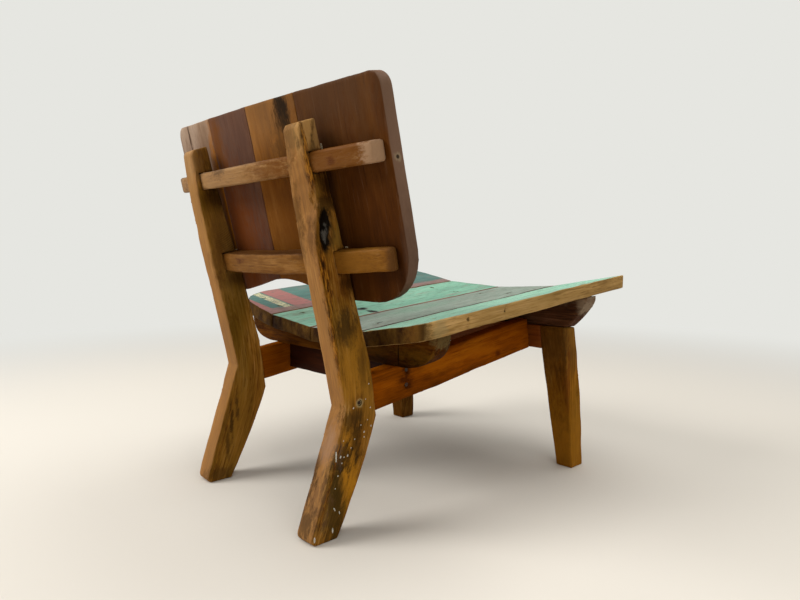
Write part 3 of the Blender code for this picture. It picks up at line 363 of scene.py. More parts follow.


# Waxed reclaimed teak, hand rubbed: tan where hands and feet wore it, dark olive where old dirt stays.
# Besides wear and dirt, the legs carry painted shadows below the battens, painted highlights at the tops
# and painted sheen on the backs.
RIGHT_OUTER = -0.227        # outer face of the right leg
OUTWARD = (-1.0, 0.0, 0.0)  # the way that it looks
LEFT_INNER = 0.1805         # inner face of the left leg
leg_marks = {
    "right": [
        ((RIGHT_OUTER, 0.318, 0.120), (0.014, 0.020, 0.075), "#b0761a", 0.85, 0.6, 0.5),
        ((RIGHT_OUTER, 0.268, 0.250), (0.014, 0.016, 0.040), "#8c6220", 0.60, 0.5, 0.5),
        ((RIGHT_OUTER, 0.305, 0.310), (0.014, 0.030, 0.060), "#a06e20", 0.65, 0.6, 0.5),
        # Painted highlight: the top of the upright paler, where the light falls.
        ((RIGHT_OUTER, 0.400, 0.728), (0.020, 0.050, 0.045), "#ae8650", 0.70, 0.5, 0.5),
        ((RIGHT_OUTER, 0.411, 0.720), (0.012, 0.0026, 0.024), "#3c2610", 0.70, 0.8, 0.5),
        ((RIGHT_OUTER, 0.388, 0.728), (0.012, 0.0026, 0.018), "#3c2610", 0.70, 0.8, 0.5),
        ((RIGHT_OUTER, 0.380, 0.622), (0.014, 0.010, 0.020), "#8a6426", 0.50, 0.6, 0.5),
        ((RIGHT_OUTER, 0.337, 0.552), (0.014, 0.010, 0.032), "#86662a", 0.65, 0.8, 0.5),
        ((RIGHT_OUTER, 0.352, 0.060), (0.016, 0.024, 0.085), "#3a2c0e", 0.80, 0.6, 0.45),
        ((RIGHT_OUTER, 0.347, 0.100), (0.014, 0.013, 0.050), "#3a2a0a", 0.70, 0.5, 0.45),
        ((RIGHT_OUTER, 0.326, 0.472), (0.014, 0.022, 0.040), "#5a2c08", 0.60, 0.5, 0.6),
        ((-0.205, 0.378, 0.080), (0.024, 0.020, 0.045), "#6c4c32", 0.60, 0.9, 0.5),
        ((RIGHT_OUTER, 0.309, 0.216), (0.014, 0.024, 0.022), "#2a1d0a", 0.70, 0.8, 0.45),
        ((RIGHT_OUTER, 0.300, 0.171), (0.014, 0.014, 0.030), "#2a1d0a", 0.65, 0.8, 0.45),
        ((RIGHT_OUTER, 0.328, 0.148), (0.014, 0.025, 0.024), "#1e1509", 0.80, 0.8, 0.45),
        ((RIGHT_OUTER, 0.284, 0.319), (0.014, 0.010, 0.034), "#33230c", 0.50, 0.8, 0.45),
        ((RIGHT_OUTER, 0.321, 0.386), (0.014, 0.022, 0.030), "#261c0e", 0.70, 0.8, 0.45),
        # Painted shadow of the upper batten: darker from the batten's underside down to the knot.
        ((RIGHT_OUTER, 0.362, 0.606), (0.014, 0.018, 0.014), "#2c1a0a", 0.75, 0.7, 0.5),
        ((RIGHT_OUTER, 0.350, 0.634), (0.014, 0.030, 0.028), "#2a1505", 0.85, 0.4, 0.6),
        # Painted shadow below the lower batten.
        ((RIGHT_OUTER, 0.312, 0.466), (0.014, 0.018, 0.018), "#2a1505", 0.75, 0.5, 0.6),
        ((RIGHT_OUTER, 0.390, 0.688), (0.012, 0.006, 0.026), "#2c1f0c", 0.60, 0.7, 0.5),
        ((-0.184, 0.362, 0.112), (0.012, 0.022, 0.045), "#2a1a0c", 0.70, 0.8, 0.45),
        ((-0.198, 0.390, 0.030), (0.022, 0.018, 0.034), "#4e3822", 0.75, 0.7, 0.45),
        ((-0.205, 0.345, 0.170), (0.018, 0.016, 0.036), "#9c7a60", 0.60, 0.5, 0.6),
        ((-0.215, 0.386, 0.550), (0.012, 0.012, 0.030), "#57391f", 0.60, 0.8, 0.5),
        ((-0.199, 0.415, 0.712), (0.018, 0.012, 0.024), "#5c4426", 0.55, 0.9, 0.5),
        ((-0.186, 0.394, 0.560), (0.008, 0.014, 0.090), "#54381c", 0.60, 0.8, 0.5),
        ((RIGHT_OUTER, 0.3645, 0.574), (0.016, 0.0170, 0.030), "#5f431a", 0.75, 0.4, 0.4),
        ((RIGHT_OUTER, 0.3645, 0.546), (0.016, 0.0170, 0.030), "#553a14", 0.75, 0.4, 0.4),
        ((RIGHT_OUTER, 0.3645, 0.574), (0.016, 0.0122, 0.024), "#0b0704", 0.98, 0.24, 0.20),
        ((RIGHT_OUTER, 0.3645, 0.546), (0.016, 0.0118, 0.024), "#0b0704", 0.98, 0.24, 0.20),
        ((RIGHT_OUTER, 0.3630, 0.552), (0.012, 0.004, 0.010), "#6a655c", 0.55, 1.5, 0.5),
        ((RIGHT_OUTER, 0.2905, 0.2432), (0.010, 0.0095, 0.0088), "#a08a5c", 0.80, 0.35, 0.2),
        ((RIGHT_OUTER, 0.2905, 0.2432), (0.010, 0.0055, 0.0060), "#1a1006", 0.92, 0.1, 0.15),
    ],
    "left": [
        ((LEFT_INNER, 0.345, 0.540), (0.010, 0.034, 0.110), "#a0763a", 0.55, 0.5, 0.6),
        # Painted shadows below the upper batten and below the lower batten.
        ((LEFT_INNER, 0.358, 0.640), (0.010, 0.040, 0.024), "#2a1505", 0.75, 0.4, 0.6),
        ((LEFT_INNER, 0.318, 0.462), (0.010, 0.034, 0.020), "#2e1806", 0.65, 0.4, 0.6),
        ((LEFT_INNER, 0.362, 0.515), (0.014, 0.014, 0.070), "#4e2c0a", 0.60, 0.6, 0.6),
        # Painted highlight: the top of the upright paler, where the light falls.
        ((0.204, 0.413, 0.722), (0.030, 0.014, 0.045), "#a8855c", 0.45, 0.5, 0.6),
        ((LEFT_INNER, 0.330, 0.120), (0.010, 0.034, 0.090), "#8f6424", 0.50, 0.6, 0.6),
        ((LEFT_INNER, 0.340, 0.135), (0.010, 0.004, 0.040), "#241606", 0.75, 0.8, 0.45),
        ((LEFT_INNER, 0.326, 0.165), (0.010, 0.004, 0.032), "#2c1c08", 0.65, 0.8, 0.45),
        ((LEFT_INNER, 0.352, 0.090), (0.010, 0.005, 0.036), "#2c1c08", 0.60, 0.8, 0.45),
        ((LEFT_INNER, 0.372, 0.690), (0.010, 0.012, 0.036), "#2c1a0a", 0.55, 0.6, 0.5),
        ((LEFT_INNER, 0.395, 0.722), (0.010, 0.026, 0.040), "#5a3c1a", 0.60, 0.5, 0.6),
        ((LEFT_INNER, 0.370, 0.016), (0.030, 0.030, 0.016), "#2a1a0a", 0.60, 0.6, 0.5),
    ],
}
# Torn edges at the back of the legs, placed along the straightened grain.
leg_splinters = {
    "right": [
        ((RIGHT_OUTER, 0.2965, 0.672), (0.012, 0.0050, 0.055), 0.80),
        ((RIGHT_OUTER, 0.3062, 0.482), (0.010, 0.0078, 0.050), 0.85),
        ((RIGHT_OUTER, 0.3120, 0.370), (0.009, 0.0030, 0.090), 0.80),
        ((RIGHT_OUTER, 0.3050, 0.100), (0.009, 0.0026, 0.110), 0.65),
    ],
    "left": [
        ((LEFT_INNER, 0.3050, 0.100), (0.009, 0.0022, 0.110), 0.45),
    ],
}
UPRIGHT = (0.0, 0.0, 0.0)           # no turn, for grain that runs up
SAW_CENTRE = (0.0, 0.40, 0.635)     # middle of the saw's arc
SAW_STEP = 0.0045                   # saw marks are about 2 mm apart; drawn at twice that, to show
SAWN_SPOT = (LEFT_INNER, 0.330, 0.545)
SAWN_CORE = 0.016                   # the marks are full this near to that spot
SAWN_EDGE = 0.048                   # and gone here
CHARRED_KNOT = ((RIGHT_OUTER, 0.3645, 0.560), (0.014, 0.0125, 0.037), 0.005, 0.0025, OUTWARD)
for side, heart in (("right", (0.10, -0.42, 0.0)), ("left", (-0.28, -0.34, 0.0))):
    leg_teak, tree = new_material(f"waxed_reclaimed_teak_{side}_leg")
    seen, fibre, height, place, grain = timber(
        tree, ("#452805", "#8a5b1c", "#b08240", "#64490f"), UPRIGHT, heart, ring=0.009,
        figure=(0.07, 0.60, 0.95, 0.70), straight=along_dogleg)
    # Backs paler: rubbed wear, and a painted sheen where the backs catch the light.
    seen = facing(tree, seen, "Y", start=0.30, full=0.80, code="#a4764a", strength=0.55)
    seen = edge_wear_and_highlight(tree, seen, fibre, "#a27a48", strength=0.40)
    seen = stains_and_painted_light(tree, seen, place, grain, leg_marks[side])
    seen = splintered(tree, seen, grain, leg_splinters[side])
    if side == "left":
        # The saw's curved marks are left on the inner face, half way up.
        arc = add(tree, "VectorMath", {"operation": "SUBTRACT", 0: place, 1: SAW_CENTRE})
        kerf = add(tree, "TexWave", {"wave_type": "RINGS", "rings_direction": "X", "Vector": arc,
                                     "Scale": WAVE_METRE / SAW_STEP}, "Fac")
        away = add(tree, "VectorMath", {"operation": "DISTANCE", 0: place, 1: SAWN_SPOT}, "Value")
        near = between(tree, away, SAWN_EDGE, SAWN_CORE, top=0.50)
        line = calc(tree, "MULTIPLY", kerf, near)
        seen = overlay(tree, line, seen, "#2e1c08")
    finish(tree, seen, height, fibre, roughness=(0.46, 0.66), bump=0.0009, sheen=0.03)
    leg = worn(f"rear_leg_{side}", LEG_GRID, LEG_NIBBLE,
               [CHARRED_KNOT] if side == "right" else [])
    leg.data.materials.append(leg_teak)

# Side rails: planed teak, redder than the legs, rising to the front. Each is tenoned into a rear leg
# and into the front cross rail, and nailed to the rear cross rail.
RAIL_GRID = 0.010
RAIL_NIBBLE = 0.0012
RAIL_TILT = (math.radians(-82.1), 0.0, 0.0)     # grain runs along the sloping rail
rail_marks = {
    "right": [
        ((-0.220, 0.172, 0.268), (0.012, 0.020, 0.008), "#3a1403", 0.80, 0.5, 0.5),
        ((-0.220, 0.164, 0.286), (0.012, 0.010, 0.009), "#2a0e03", 0.75, 0.4, 0.5),
        ((-0.220, 0.160, 0.256), (0.012, 0.009, 0.007), "#2a0e03", 0.70, 0.4, 0.5),
        ((-0.220, -0.125, 0.287), (0.012, 0.008, 0.007), "#4a1c05", 0.75, 0.3, 0.4),
        ((-0.220, 0.060, 0.330), (0.012, 0.080, 0.008), "#43200a", 0.60, 0.6, 0.6),
        ((-0.220, 0.080, 0.285), (0.012, 0.050, 0.014), "#a85e0a", 0.60, 0.5, 0.6),
        ((-0.220, -0.060, 0.300), (0.012, 0.050, 0.012), "#a85e0a", 0.55, 0.5, 0.6),
    ],
    "left": [
        # Painted shade on the inner face, under the seat.
        ((0.185, 0.230, 0.270), (0.012, 0.090, 0.060), "#4a1c03", 0.30, 0.4, 0.6),
        ((0.220, 0.164, 0.286), (0.012, 0.010, 0.009), "#2a0e03", 0.75, 0.4, 0.5),
        ((0.220, 0.164, 0.256), (0.012, 0.009, 0.007), "#2a0e03", 0.70, 0.4, 0.5),
    ],
}
for side, heart in (("right", (0.36, 0.30, 0.0)), ("left", (-0.10, 0.26, 0.0))):
    # Waxed orange teak: planed heartwood with a warm, even glow and soft darker clouds.
    rail_teak, tree = new_material(f"waxed_orange_teak_{side}_rail")
    seen, fibre, height, place, grain = timber(
        tree, ("#4a2202", "#8c4704", "#b06610", "#743a04"), RAIL_TILT, heart, ring=0.016,
        figure=(0.05, 0.28, 0.90, 0.30))
    seen = stains_and_painted_light(tree, seen, place, grain, rail_marks[side])
    finish(tree, seen, height, fibre, roughness=(0.40, 0.55), bump=0.0004, sheen=0.008)
    worn(f"side_rail_{side}", RAIL_GRID, RAIL_NIBBLE).data.materials.append(rail_teak)

# Front legs: tapered teak posts raked forward, with a short tenon on top that goes up into the bearer.
# The cross rail is tenoned and pegged between them.
POST_NIBBLE = 0.0012
post_tones = {
    "right": ("#4c2b05", "#986218", "#ba8638", "#69470c"),
    # The left post's tones are darker as painted shade under the seat.
    "left": ("#331c05", "#5e3a10", "#7c5426", "#46300c"),
}
post_marks = [
    ((-0.290, -0.300, 0.050), (0.060, 0.060, 0.110), "#a0681a", 0.60, 0.4, 0.6),
    ((-0.322, -0.270, 0.320), (0.012, 0.060, 0.070), "#5e4422", 0.55, 0.5, 0.6),
    # Painted shade on the upper back, below the bearer.
    ((-0.290, -0.246, 0.300), (0.050, 0.014, 0.090), "#38200a", 0.60, 0.5, 0.6),
    ((-0.322, -0.262, 0.210), (0.010, 0.006, 0.090), "#6a3a12", 0.60, 0.7, 0.5),
]
for side, heart in (("right", (0.05, 0.55, 0.0)), ("left", (-0.60, 0.42, 0.0))):
    # Waxed brown teak: sawn, then scraped, a little darker than the rear legs; the left one darker still,
    # as painted shade.
    post_teak, tree = new_material(f"waxed_brown_teak_{side}_post")
    seen, fibre, height, place, grain = timber(
        tree, post_tones[side], UPRIGHT, heart, ring=0.008, figure=(0.14, 0.55, 0.80, 0.55))
    # Backs darker: painted shade under the seat.
    seen = facing(tree, seen, "Y", start=0.30, full=0.80, code="#4a2804", strength=0.66)
    seen = edge_wear_and_highlight(tree, seen, fibre, "#8a6432", strength=0.35)
    seen = stains_and_painted_light(tree, seen, place, grain, post_marks)
    finish(tree, seen, height, fibre, roughness=(0.46, 0.64), bump=0.0007, sheen=0.008)
    worn(f"front_leg_{side}", RAIL_GRID, POST_NIBBLE).data.materials.append(post_teak)

# Front cross rail: planed orange teak, deeper in the middle, that ties the front legs together. It is
# tenoned and pegged into both of them, and has sockets for the side rails.
ALONG_X = (0.0, math.radians(-90.0), 0.0)
# Waxed orange teak, as on the side rails, but browner and a little closed by old polish.
cross_teak, tree = new_material("waxed_orange_teak_cross_rail")
seen, fibre, height, place, grain = timber(
    tree, ("#3f1a04", "#70380f", "#90541f", "#5a2a0c"), ALONG_X, (0.22, -0.10, 0.0), ring=0.014,
    figure=(0.06, 0.35, 0.70, 0.35))
finish(tree, seen, height, fibre, roughness=(0.42, 0.58), bump=0.0004, sheen=0.06)
worn("front_cross_rail", RAIL_GRID, RAIL_NIBBLE).data.materials.append(cross_teak)

# Rear cross rail: a dark piece of old teak that holds the side rails apart, below the seat. It is butted
# between them and nailed through them.
# Old dark teak, oiled almost black so that its grain barely shows; its tones are darker still as painted
# shade under the seat.
back_rail_teak, tree = new_material("dark_old_teak_cross_rail")
seen, fibre, height, place, grain = timber(
    tree, ("#150601", "#290e03", "#3c1a07", "#230b02"), ALONG_X, (0.18, 0.22, 0.0), ring=0.014,
    figure=(0.05, 0.35, 0.70, 0.35))
finish(tree, seen, height, fibre, roughness=(0.46, 0.62), bump=0.0004, sheen=0.05)
worn("rear_cross_rail", RAIL_GRID, RAIL_NIBBLE).data.materials.append(back_rail_teak)

# Seat bearers: two old boat ribs, hollowed on top for the planks and rounded up at the ends. The rear one
# is dowelled to the side rails, the front one sits on the tenons of the front legs.
BEARER_GRID = 0.010
BEARER_NIBBLE = 0.0024
bearer_marks = {
    "rear": [
        ((-0.330, 0.175, 0.360), (0.014, 0.030, 0.014), "#75643e", 0.60, 0.7, 0.5),
        ((-0.285, 0.198, 0.328), (0.050, 0.008, 0.013), "#6a470f", 0.65, 0.6, 0.6),
        ((-0.170, 0.198, 0.326), (0.040, 0.008, 0.016), "#5a3a08", 0.60, 0.6, 0.6),
        ((-0.180, 0.198, 0.305), (0.040, 0.008, 0.008), "#160a03", 0.70, 0.7, 0.6),
        ((-0.233, 0.198, 0.320), (0.0016, 0.008, 0.020), "#0d0602", 0.90, 0.4, 0.4),
        ((0.245, 0.198, 0.350), (0.060, 0.008, 0.016), "#6a4a1c", 0.55, 0.7, 0.6),
    ],
    "front": [
        ((-0.360, -0.270, 0.405), (0.014, 0.040, 0.034), "#8d7a64", 0.80, 0.4, 0.4),
        ((0.360, -0.270, 0.405), (0.014, 0.040, 0.034), "#8d7a64", 0.75, 0.4, 0.4),
        ((-0.290, -0.250, 0.405), (0.050, 0.008, 0.008), "#6a5846", 0.50, 0.9, 0.5),
    ],
}
for end, tones, heart in (("rear", ("#1d0b01", "#452203", "#663b0a", "#583206"), (0.30, 0.16, 0.0)),
                          ("front", ("#24120a", "#4e2f1c", "#6c4a36", "#3a2418"), (0.33, 0.24, 0.0))):
    # Old boat teak: weathered, oiled dark, with paler scars where the ends were cut back.
    bearer_teak, tree = new_material(f"weathered_boat_teak_{end}_bearer")
    seen, fibre, height, place, grain = timber(
        tree, tones, ALONG_X, heart, ring=0.013, figure=(0.08, 0.55, 0.85, 0.55))
    seen = edge_wear_and_highlight(tree, seen, fibre, "#5f4420", strength=0.40)
    seen = stains_and_painted_light(tree, seen, place, grain, bearer_marks[end])
    finish(tree, seen, height, fibre, roughness=(0.52, 0.72), bump=0.0009, sheen=0.02)
    worn(f"{end}_seat_bearer", BEARER_GRID, BEARER_NIBBLE).data.materials.append(bearer_teak)

# Seat planks: four boat planks with their old paint left on top, sawn to one outline and nailed down.
# Edges and undersides are bare teak; the paint is rubbed through along the seams and the corners.
PLANK_GRID = 0.012
PLANK_NIBBLE = 0.0014
PLANK_TILT = (math.radians(-84.8), 0.0, 0.0)
FADE_SPAN = 0.040           # sun-faded clouds in the paint
DASH_WIDTH = 0.0042         # weathered grain is 0.5 mm wide; drawn in bundles, as that is what shows
STREAK_WIDTH = 0.0090       # scuffs along the plank
FLAKE_SIZE = 0.0032         # flakes of paint
BRUSH_PULL = 0.12           # clouds, dashes and scuffs are drawn out along the plank
BAND_SLANT = -0.070         # the painted bands cross the planks a little out of square
BAND_RAG = 0.012            # their edges wander this far
BAND_EDGE = 0.001           # and are this soft
SEAM_BARE = 0.0018          # bare wood beside a seam, out to here
SEAM_DIRTY = 0.0030         # and gone here
STRIPE_SPAN = 0.026         # stripes in the end grain
STRIPE_PULL = 0.70
PAINT_GLOSS = 0.20          # worn oil paint
BARE_GLOSS = 0.04           # and the open wood beside it


def painted(name, coats, primer, sides, rub, tones, heart, bands, marks):
    """Old boat paint on teak. coats are the paint's two tints, primer the coat below it, sides the
    plank's two long edges and rub how far from each the paint is worn, bands further colours across the
    plank as (from y, to y, code, share of it left)."""
    made, tree = new_material(name)
    wood, fibre, height, place, grain = timber(
        tree, tones, PLANK_TILT, heart, ring=0.012, figure=(0.10, 0.60, 0.80, 0.50))
    axes = add(tree, "SeparateXYZ", {0: place}, None)
    normal = add(tree, "NewGeometry", {}, "Normal")
    looks = add(tree, "SeparateXYZ", {0: normal}, None)

    # Brushed paint, faded in clouds, with dark dashes where the weathered grain stands through it.
    long = add(tree, "VectorMath", {"operation": "MULTIPLY", 0: place, 1: (1.0, BRUSH_PULL, 1.0)})
    fade = mottle(tree, long, FADE_SPAN, detail=5.0, rough=0.62)
    dash = mottle(tree, long, DASH_WIDTH, detail=3.0, rough=0.60)
    streak = add(tree, "TexNoise", {"noise_dimensions": "4D", "Vector": long, "W": 3.0,
                                    "Scale": 1 / STREAK_WIDTH, "Detail": 4.0, "Roughness": 0.65})
    flake = mottle(tree, place, FLAKE_SIZE, detail=5.0, rough=0.70)
    tint = between(tree, fade, 0.36, 0.64)
    coat = overlay(tree, tint, coats[0], coats[1])
    slant = calc(tree, "MULTIPLY_ADD", axes["X"], BAND_SLANT, axes["Y"])
    ragged = calc(tree, "MULTIPLY_ADD", flake, BAND_RAG, -BAND_RAG / 2)
    across = calc(tree, "ADD", slant, ragged)
    for start, end, code, left in bands:
        before = between(tree, across, start - BAND_EDGE, start + BAND_EDGE)
        after = between(tree, across, end + BAND_EDGE, end - BAND_EDGE)
        kept = between(tree, flake, 0.70 - 0.4 * left, 0.76 - 0.4 * left)
        within = calc(tree, "MULTIPLY", before, after)
        mask = calc(tree, "MULTIPLY", within, kept)
        coat = overlay(tree, mask, coat, code)
    dark_dash = between(tree, dash, 0.54, 0.64, top=0.62)
    coat = overlay(tree, dark_dash, coat, "#4c5f52")
    scuff = between(tree, streak, 0.54, 0.68, top=0.55)
    coat = overlay(tree, scuff, coat, primer)

    # Along the seams first the primer shows, then bare, dirty wood.
    loose = add(tree, "MapRange", {"Value": streak, "From Min": 0.30, "From Max": 0.70, "To Min": -0.5,
                                   "To Max": 0.5})
    worn_off, bare = 0.0, 0.0
    for at, sign, width in ((min(sides), 1.0, rub[0]), (max(sides), -1.0, rub[1])):
        inset = calc(tree, "MULTIPLY_ADD", axes["X"], sign / width, -sign * at / width)
        wavy = calc(tree, "ADD", inset, loose)
        thin = between(tree, wavy, 1.15, 0.85, top=0.9)
        edge = between(tree, inset, SEAM_DIRTY / width, SEAM_BARE / width)
        worn_off = calc(tree, "MAXIMUM", worn_off, thin)
        bare = calc(tree, "MAXIMUM", bare, edge)
    scored = add(tree, "ValToRGB", {"stops": [(0.34, "#5d453a"), (0.56, primer)], "Fac": dash})
    layered = overlay(tree, worn_off, coat, scored)
    top = between(tree, looks["Z"], 0.84, 0.93)
    sound = calc(tree, "SUBTRACT", 1.0, bare)
    paint = calc(tree, "MULTIPLY", top, sound)

    # The sawn rear and front ends: dark end grain with golden stripes down it.
    down = add(tree, "VectorMath", {"operation": "MULTIPLY", 0: place, 1: (1.0, 1.0, STRIPE_PULL)})
    stripe = mottle(tree, down, STRIPE_SPAN, detail=6.0, rough=0.62)
    end_grain = add(tree, "ValToRGB", {"stops": [(0.36, "#2c1706"), (0.54, "#4c3311"), (0.74, "#6a4a1c")],
                                       "Fac": stripe})
    outward = calc(tree, "ABSOLUTE", looks["Y"])
    at_end = between(tree, outward, 0.55, 0.75)
    wood = overlay(tree, at_end, wood, end_grain)
    seen = overlay(tree, paint, wood, layered)
    seen = stains_and_painted_light(tree, seen, place, grain, marks)
    raised = calc(tree, "MULTIPLY_ADD", paint, 0.6, height)
    finish(tree, seen, raised, dash, roughness=(0.50, 0.70), bump=0.0008, sheen=PAINT_GLOSS)
    gloss = add(tree, "MapRange", {"Value": paint, "To Min": BARE_GLOSS, "To Max": PAINT_GLOSS})
    tree.links.new(gloss, tree.nodes["Principled BSDF"].inputs["Specular IOR Level"])
    return made


PLANK_WOOD = ("#2c1b09", "#4c3413", "#6e5024", "#3a2a14")    # the three inner planks, bare
# Teal boat paint with a red and a flaking cream stripe across it, brushed on in service long ago.
plank_1 = painted("worn_teal_boat_paint", ("#385b54", "#4d7167"), "#866660", (0.1828, 0.372),
                  (0.032, 0.004), PLANK_WOOD, (0.25, 0.35, 0.0),
                  [(0.073, 0.131, "#98605a", 0.98), (0.137, 0.160, "#c9c096", 0.66),
                   (0.190, 0.260, "#98605a", 0.90)], [])
# Sea green boat paint, thin and scratched, over pink primer.
plank_2 = painted("worn_sea_green_boat_paint", ("#62917a", "#7aab90"), "#9a7c73", (0.0008, 0.1812),
                  (0.006, 0.005), PLANK_WOOD, (0.12, 0.32, 0.0), [],
                  [((0.0650, 0.0475, 0.381), (0.013, 0.013, 0.010), "#0f120c", 0.97, 0.25, 0.25),
                   ((0.0230, 0.0499, 0.378), (0.020, 0.008, 0.010), "#10160f", 0.95, 0.45, 0.3),
                   ((0.140, 0.170, 0.373), (0.020, 0.040, 0.010), "#66725c", 0.60, 0.9, 0.5)])
# Grey green boat paint, rubbed almost through to its grey primer; its seam with the outer plank is open.
OPEN_SEAM = ((-0.182, 0.0, 0.380), (0.0058, 3.0, 0.5), "#24150b", 0.92, 0.3, 0.35)
plank_3 = painted("rubbed_grey_green_boat_paint", ("#6e7a6c", "#849082"), "#7d6359", (-0.1812, -0.0008),
                  (0.006, 0.008), PLANK_WOOD, (-0.10, 0.36, 0.0), [],
                  [((-0.1293, 0.1576, 0.375), (0.007, 0.007, 0.010), "#20211a", 0.90, 0.4, 0.3),
                   ((-0.060, -0.020, 0.385), (0.040, 0.150, 0.012), "#6d957b", 0.45, 0.9, 0.6),
                   OPEN_SEAM])
# Pale green boat paint on the outer plank, with golden sawn edges.
plank_4 = painted("worn_pale_green_boat_paint", ("#78a98f", "#90bfa5"), "#9a7561", (-0.372, -0.1828),
                  (0.004, 0.008), ("#6a4e26", "#a8834c", "#c8a26a", "#8c6e3c"), (-0.20, 0.34, 0.0), [],
                  [((-0.372, 0.228, 0.389), (0.012, 0.018, 0.018), "#8c7c54", 0.50, 0.6, 0.5),
                   ((-0.343, 0.264, 0.383), (0.018, 0.012, 0.030), "#6a4618", 0.55, 0.6, 0.5),
                   ((-0.369, 0.256, 0.383), (0.014, 0.009, 0.030), "#3c2a12", 0.65, 0.7, 0.5),
                   OPEN_SEAM,
                   ((-0.372, 0.1525, 0.4005), (0.006, 0.0036, 0.0036), "#120c06", 0.95, 0.1, 0.2),
                   ((-0.372, 0.0477, 0.4085), (0.006, 0.0026, 0.0026), "#1c130a", 0.90, 0.1, 0.2)])
UP = (0.0, 0.0, 1.0)
plank_hollows = {
    1: [],
    2: [((0.0650, 0.0475, 0.3808), (0.010, 0.011, 0.008), 0.0032, 0.0030, UP),
        ((0.0230, 0.0499, 0.3782), (0.016, 0.0065, 0.008), 0.0027, 0.0030, UP)],
    3: [((-0.1293, 0.1576, 0.3747), (0.005, 0.005, 0.008), 0.0020, 0.0020, UP)],
    4: [((-0.372, 0.1525, 0.4005), (0.006, 0.0028, 0.0028), 0.0040, 0.0012, OUTWARD),
        ((-0.372, 0.0477, 0.4085), (0.006, 0.0020, 0.0020), 0.0030, 0.0010, OUTWARD)],
}
for number, paint in enumerate((plank_1, plank_2, plank_3, plank_4), start=1):
    plank = worn(f"seat_plank_{number}", PLANK_GRID, PLANK_NIBBLE,
                 plank_hollows[number])
    plank.data.materials.append(paint)

# Back boards: four planed boards set edge to edge as a shallow bow, each from a different old plank,
# waxed dark and screwed to the battens from the sitter's side.
BOARD_GRID = 0.012
BOARD_NIBBLE = 0.0008
BOARD_TILT = (math.radians(12.5), 0.0, 0.0)
BOARD_SHEEN = (0.01, 0.02, 0.02, 0.03)  # the bleached board is dull, the dark one still waxed
boards = [
    # Grey-brown teak, sun bleached, with thin checks; golden along its inner edge lower down.
    ("grey_brown_teak_board", "grey_brown_board", ("#755f4d", "#9f8773", "#b9a38f", "#8b6f57"),
     (-0.16, -0.60, 0.0), 0.020,
     [((0.308, 0.363, 0.780), (0.004, 0.030, 0.030), "#3a2a20", 0.85, 0.5, 0.4),
      ((0.250, 0.320, 0.540), (0.300, 0.150, 0.190), "#4a240a", 0.90, 0.15, 0.5),
      ((0.192, 0.330, 0.620), (0.018, 0.150, 0.160), "#a8671c", 0.90, 0.3, 0.4)]),
    # Plum-brown teak, close grained, redder where it meets the grey board.
    ("plum_brown_teak_board", "plum_brown_board", ("#432820", "#634434", "#7b5b49", "#5b443a"),
     (-0.02, -0.75, 0.0), 0.024,
     [((0.155, 0.325, 0.540), (0.092, 0.100, 0.150), "#6a340a", 0.78, 0.4, 0.6),
      ((0.168, 0.365, 0.745), (0.026, 0.100, 0.070), "#70400f", 0.65, 0.5, 0.6)]),
    # Orange-brown teak with a tarred knot at its top.
    ("orange_brown_teak_board", "orange_brown_board", ("#512a08", "#7e4c16", "#9a662e", "#683c10"),
     (0.20, -0.50, 0.0), 0.022,
     # Painted reflection: the top of the board paler and greyer.
     [((-0.050, 0.378, 0.790), (0.120, 0.050, 0.080), "#8e6c48", 0.40, 0.3, 0.6),
      ((-0.108, 0.372, 0.780), (0.022, 0.040, 0.042), "#14100b", 0.92, 0.4, 0.4),
      ((-0.085, 0.360, 0.725), (0.026, 0.040, 0.045), "#4c3318", 0.55, 0.8, 0.6),
      # Painted shade: the lower part darker, below the battens.
      ((-0.060, 0.320, 0.500), (0.120, 0.100, 0.160), "#5c340c", 0.65, 0.3, 0.6)]),
    # Dark brown teak, the widest board, nearly without figure.
    ("dark_brown_teak_board", "dark_brown_board", ("#341905", "#502a09", "#663d14", "#432308"),
     (0.60, -0.62, 0.0), 0.026,
     # Painted reflection: the top of the board paler and greyer.
     [((-0.250, 0.380, 0.800), (0.140, 0.060, 0.090), "#5c4430", 0.40, 0.3, 0.6),
      # Painted shade: the lower part darker, and the lower end of the edge too.
      ((-0.270, 0.290, 0.480), (0.130, 0.100, 0.130), "#2a1203", 0.35, 0.3, 0.6),
      ((-0.369, 0.290, 0.470), (0.010, 0.060, 0.080), "#5a4638", 0.45, 0.3, 0.6),
      ((-0.369, 0.3243, 0.6743), (0.008, 0.0070, 0.0070), "#8d7a60", 0.75, 0.5, 0.3),
      ((-0.369, 0.3243, 0.6743), (0.008, 0.0034, 0.0034), "#1d130c", 0.90, 0.1, 0.2)]),
]
for number, (name, slot, tones, heart, ring, marks) in enumerate(boards, start=1):
    board_teak, tree = new_material(name)
    seen, fibre, height, place, grain = timber(
        tree, tones, BOARD_TILT, heart, ring, figure=(0.05, 0.17, 0.85, 0.14))
    if slot == "dark_brown_board":
        # The widest board's edge is in sight: a painted reflection makes its face paler and greyer, and its
        # arrises are paler, rubbed and with a painted highlight.
        seen = facing(tree, seen, "X", start=-0.50, full=-0.85, code="#785f4e", strength=0.80)
        seen = edge_wear_and_highlight(tree, seen, fibre, "#785f4e", strength=0.45)
    seen = stains_and_painted_light(tree, seen, place, grain, marks)
    finish(tree, seen, height, fibre, roughness=(0.44, 0.58), bump=0.0003, sheen=BOARD_SHEEN[number - 1])
    worn(f"back_board_{number}", BOARD_GRID, BOARD_NIBBLE).data.materials.append(board_teak)

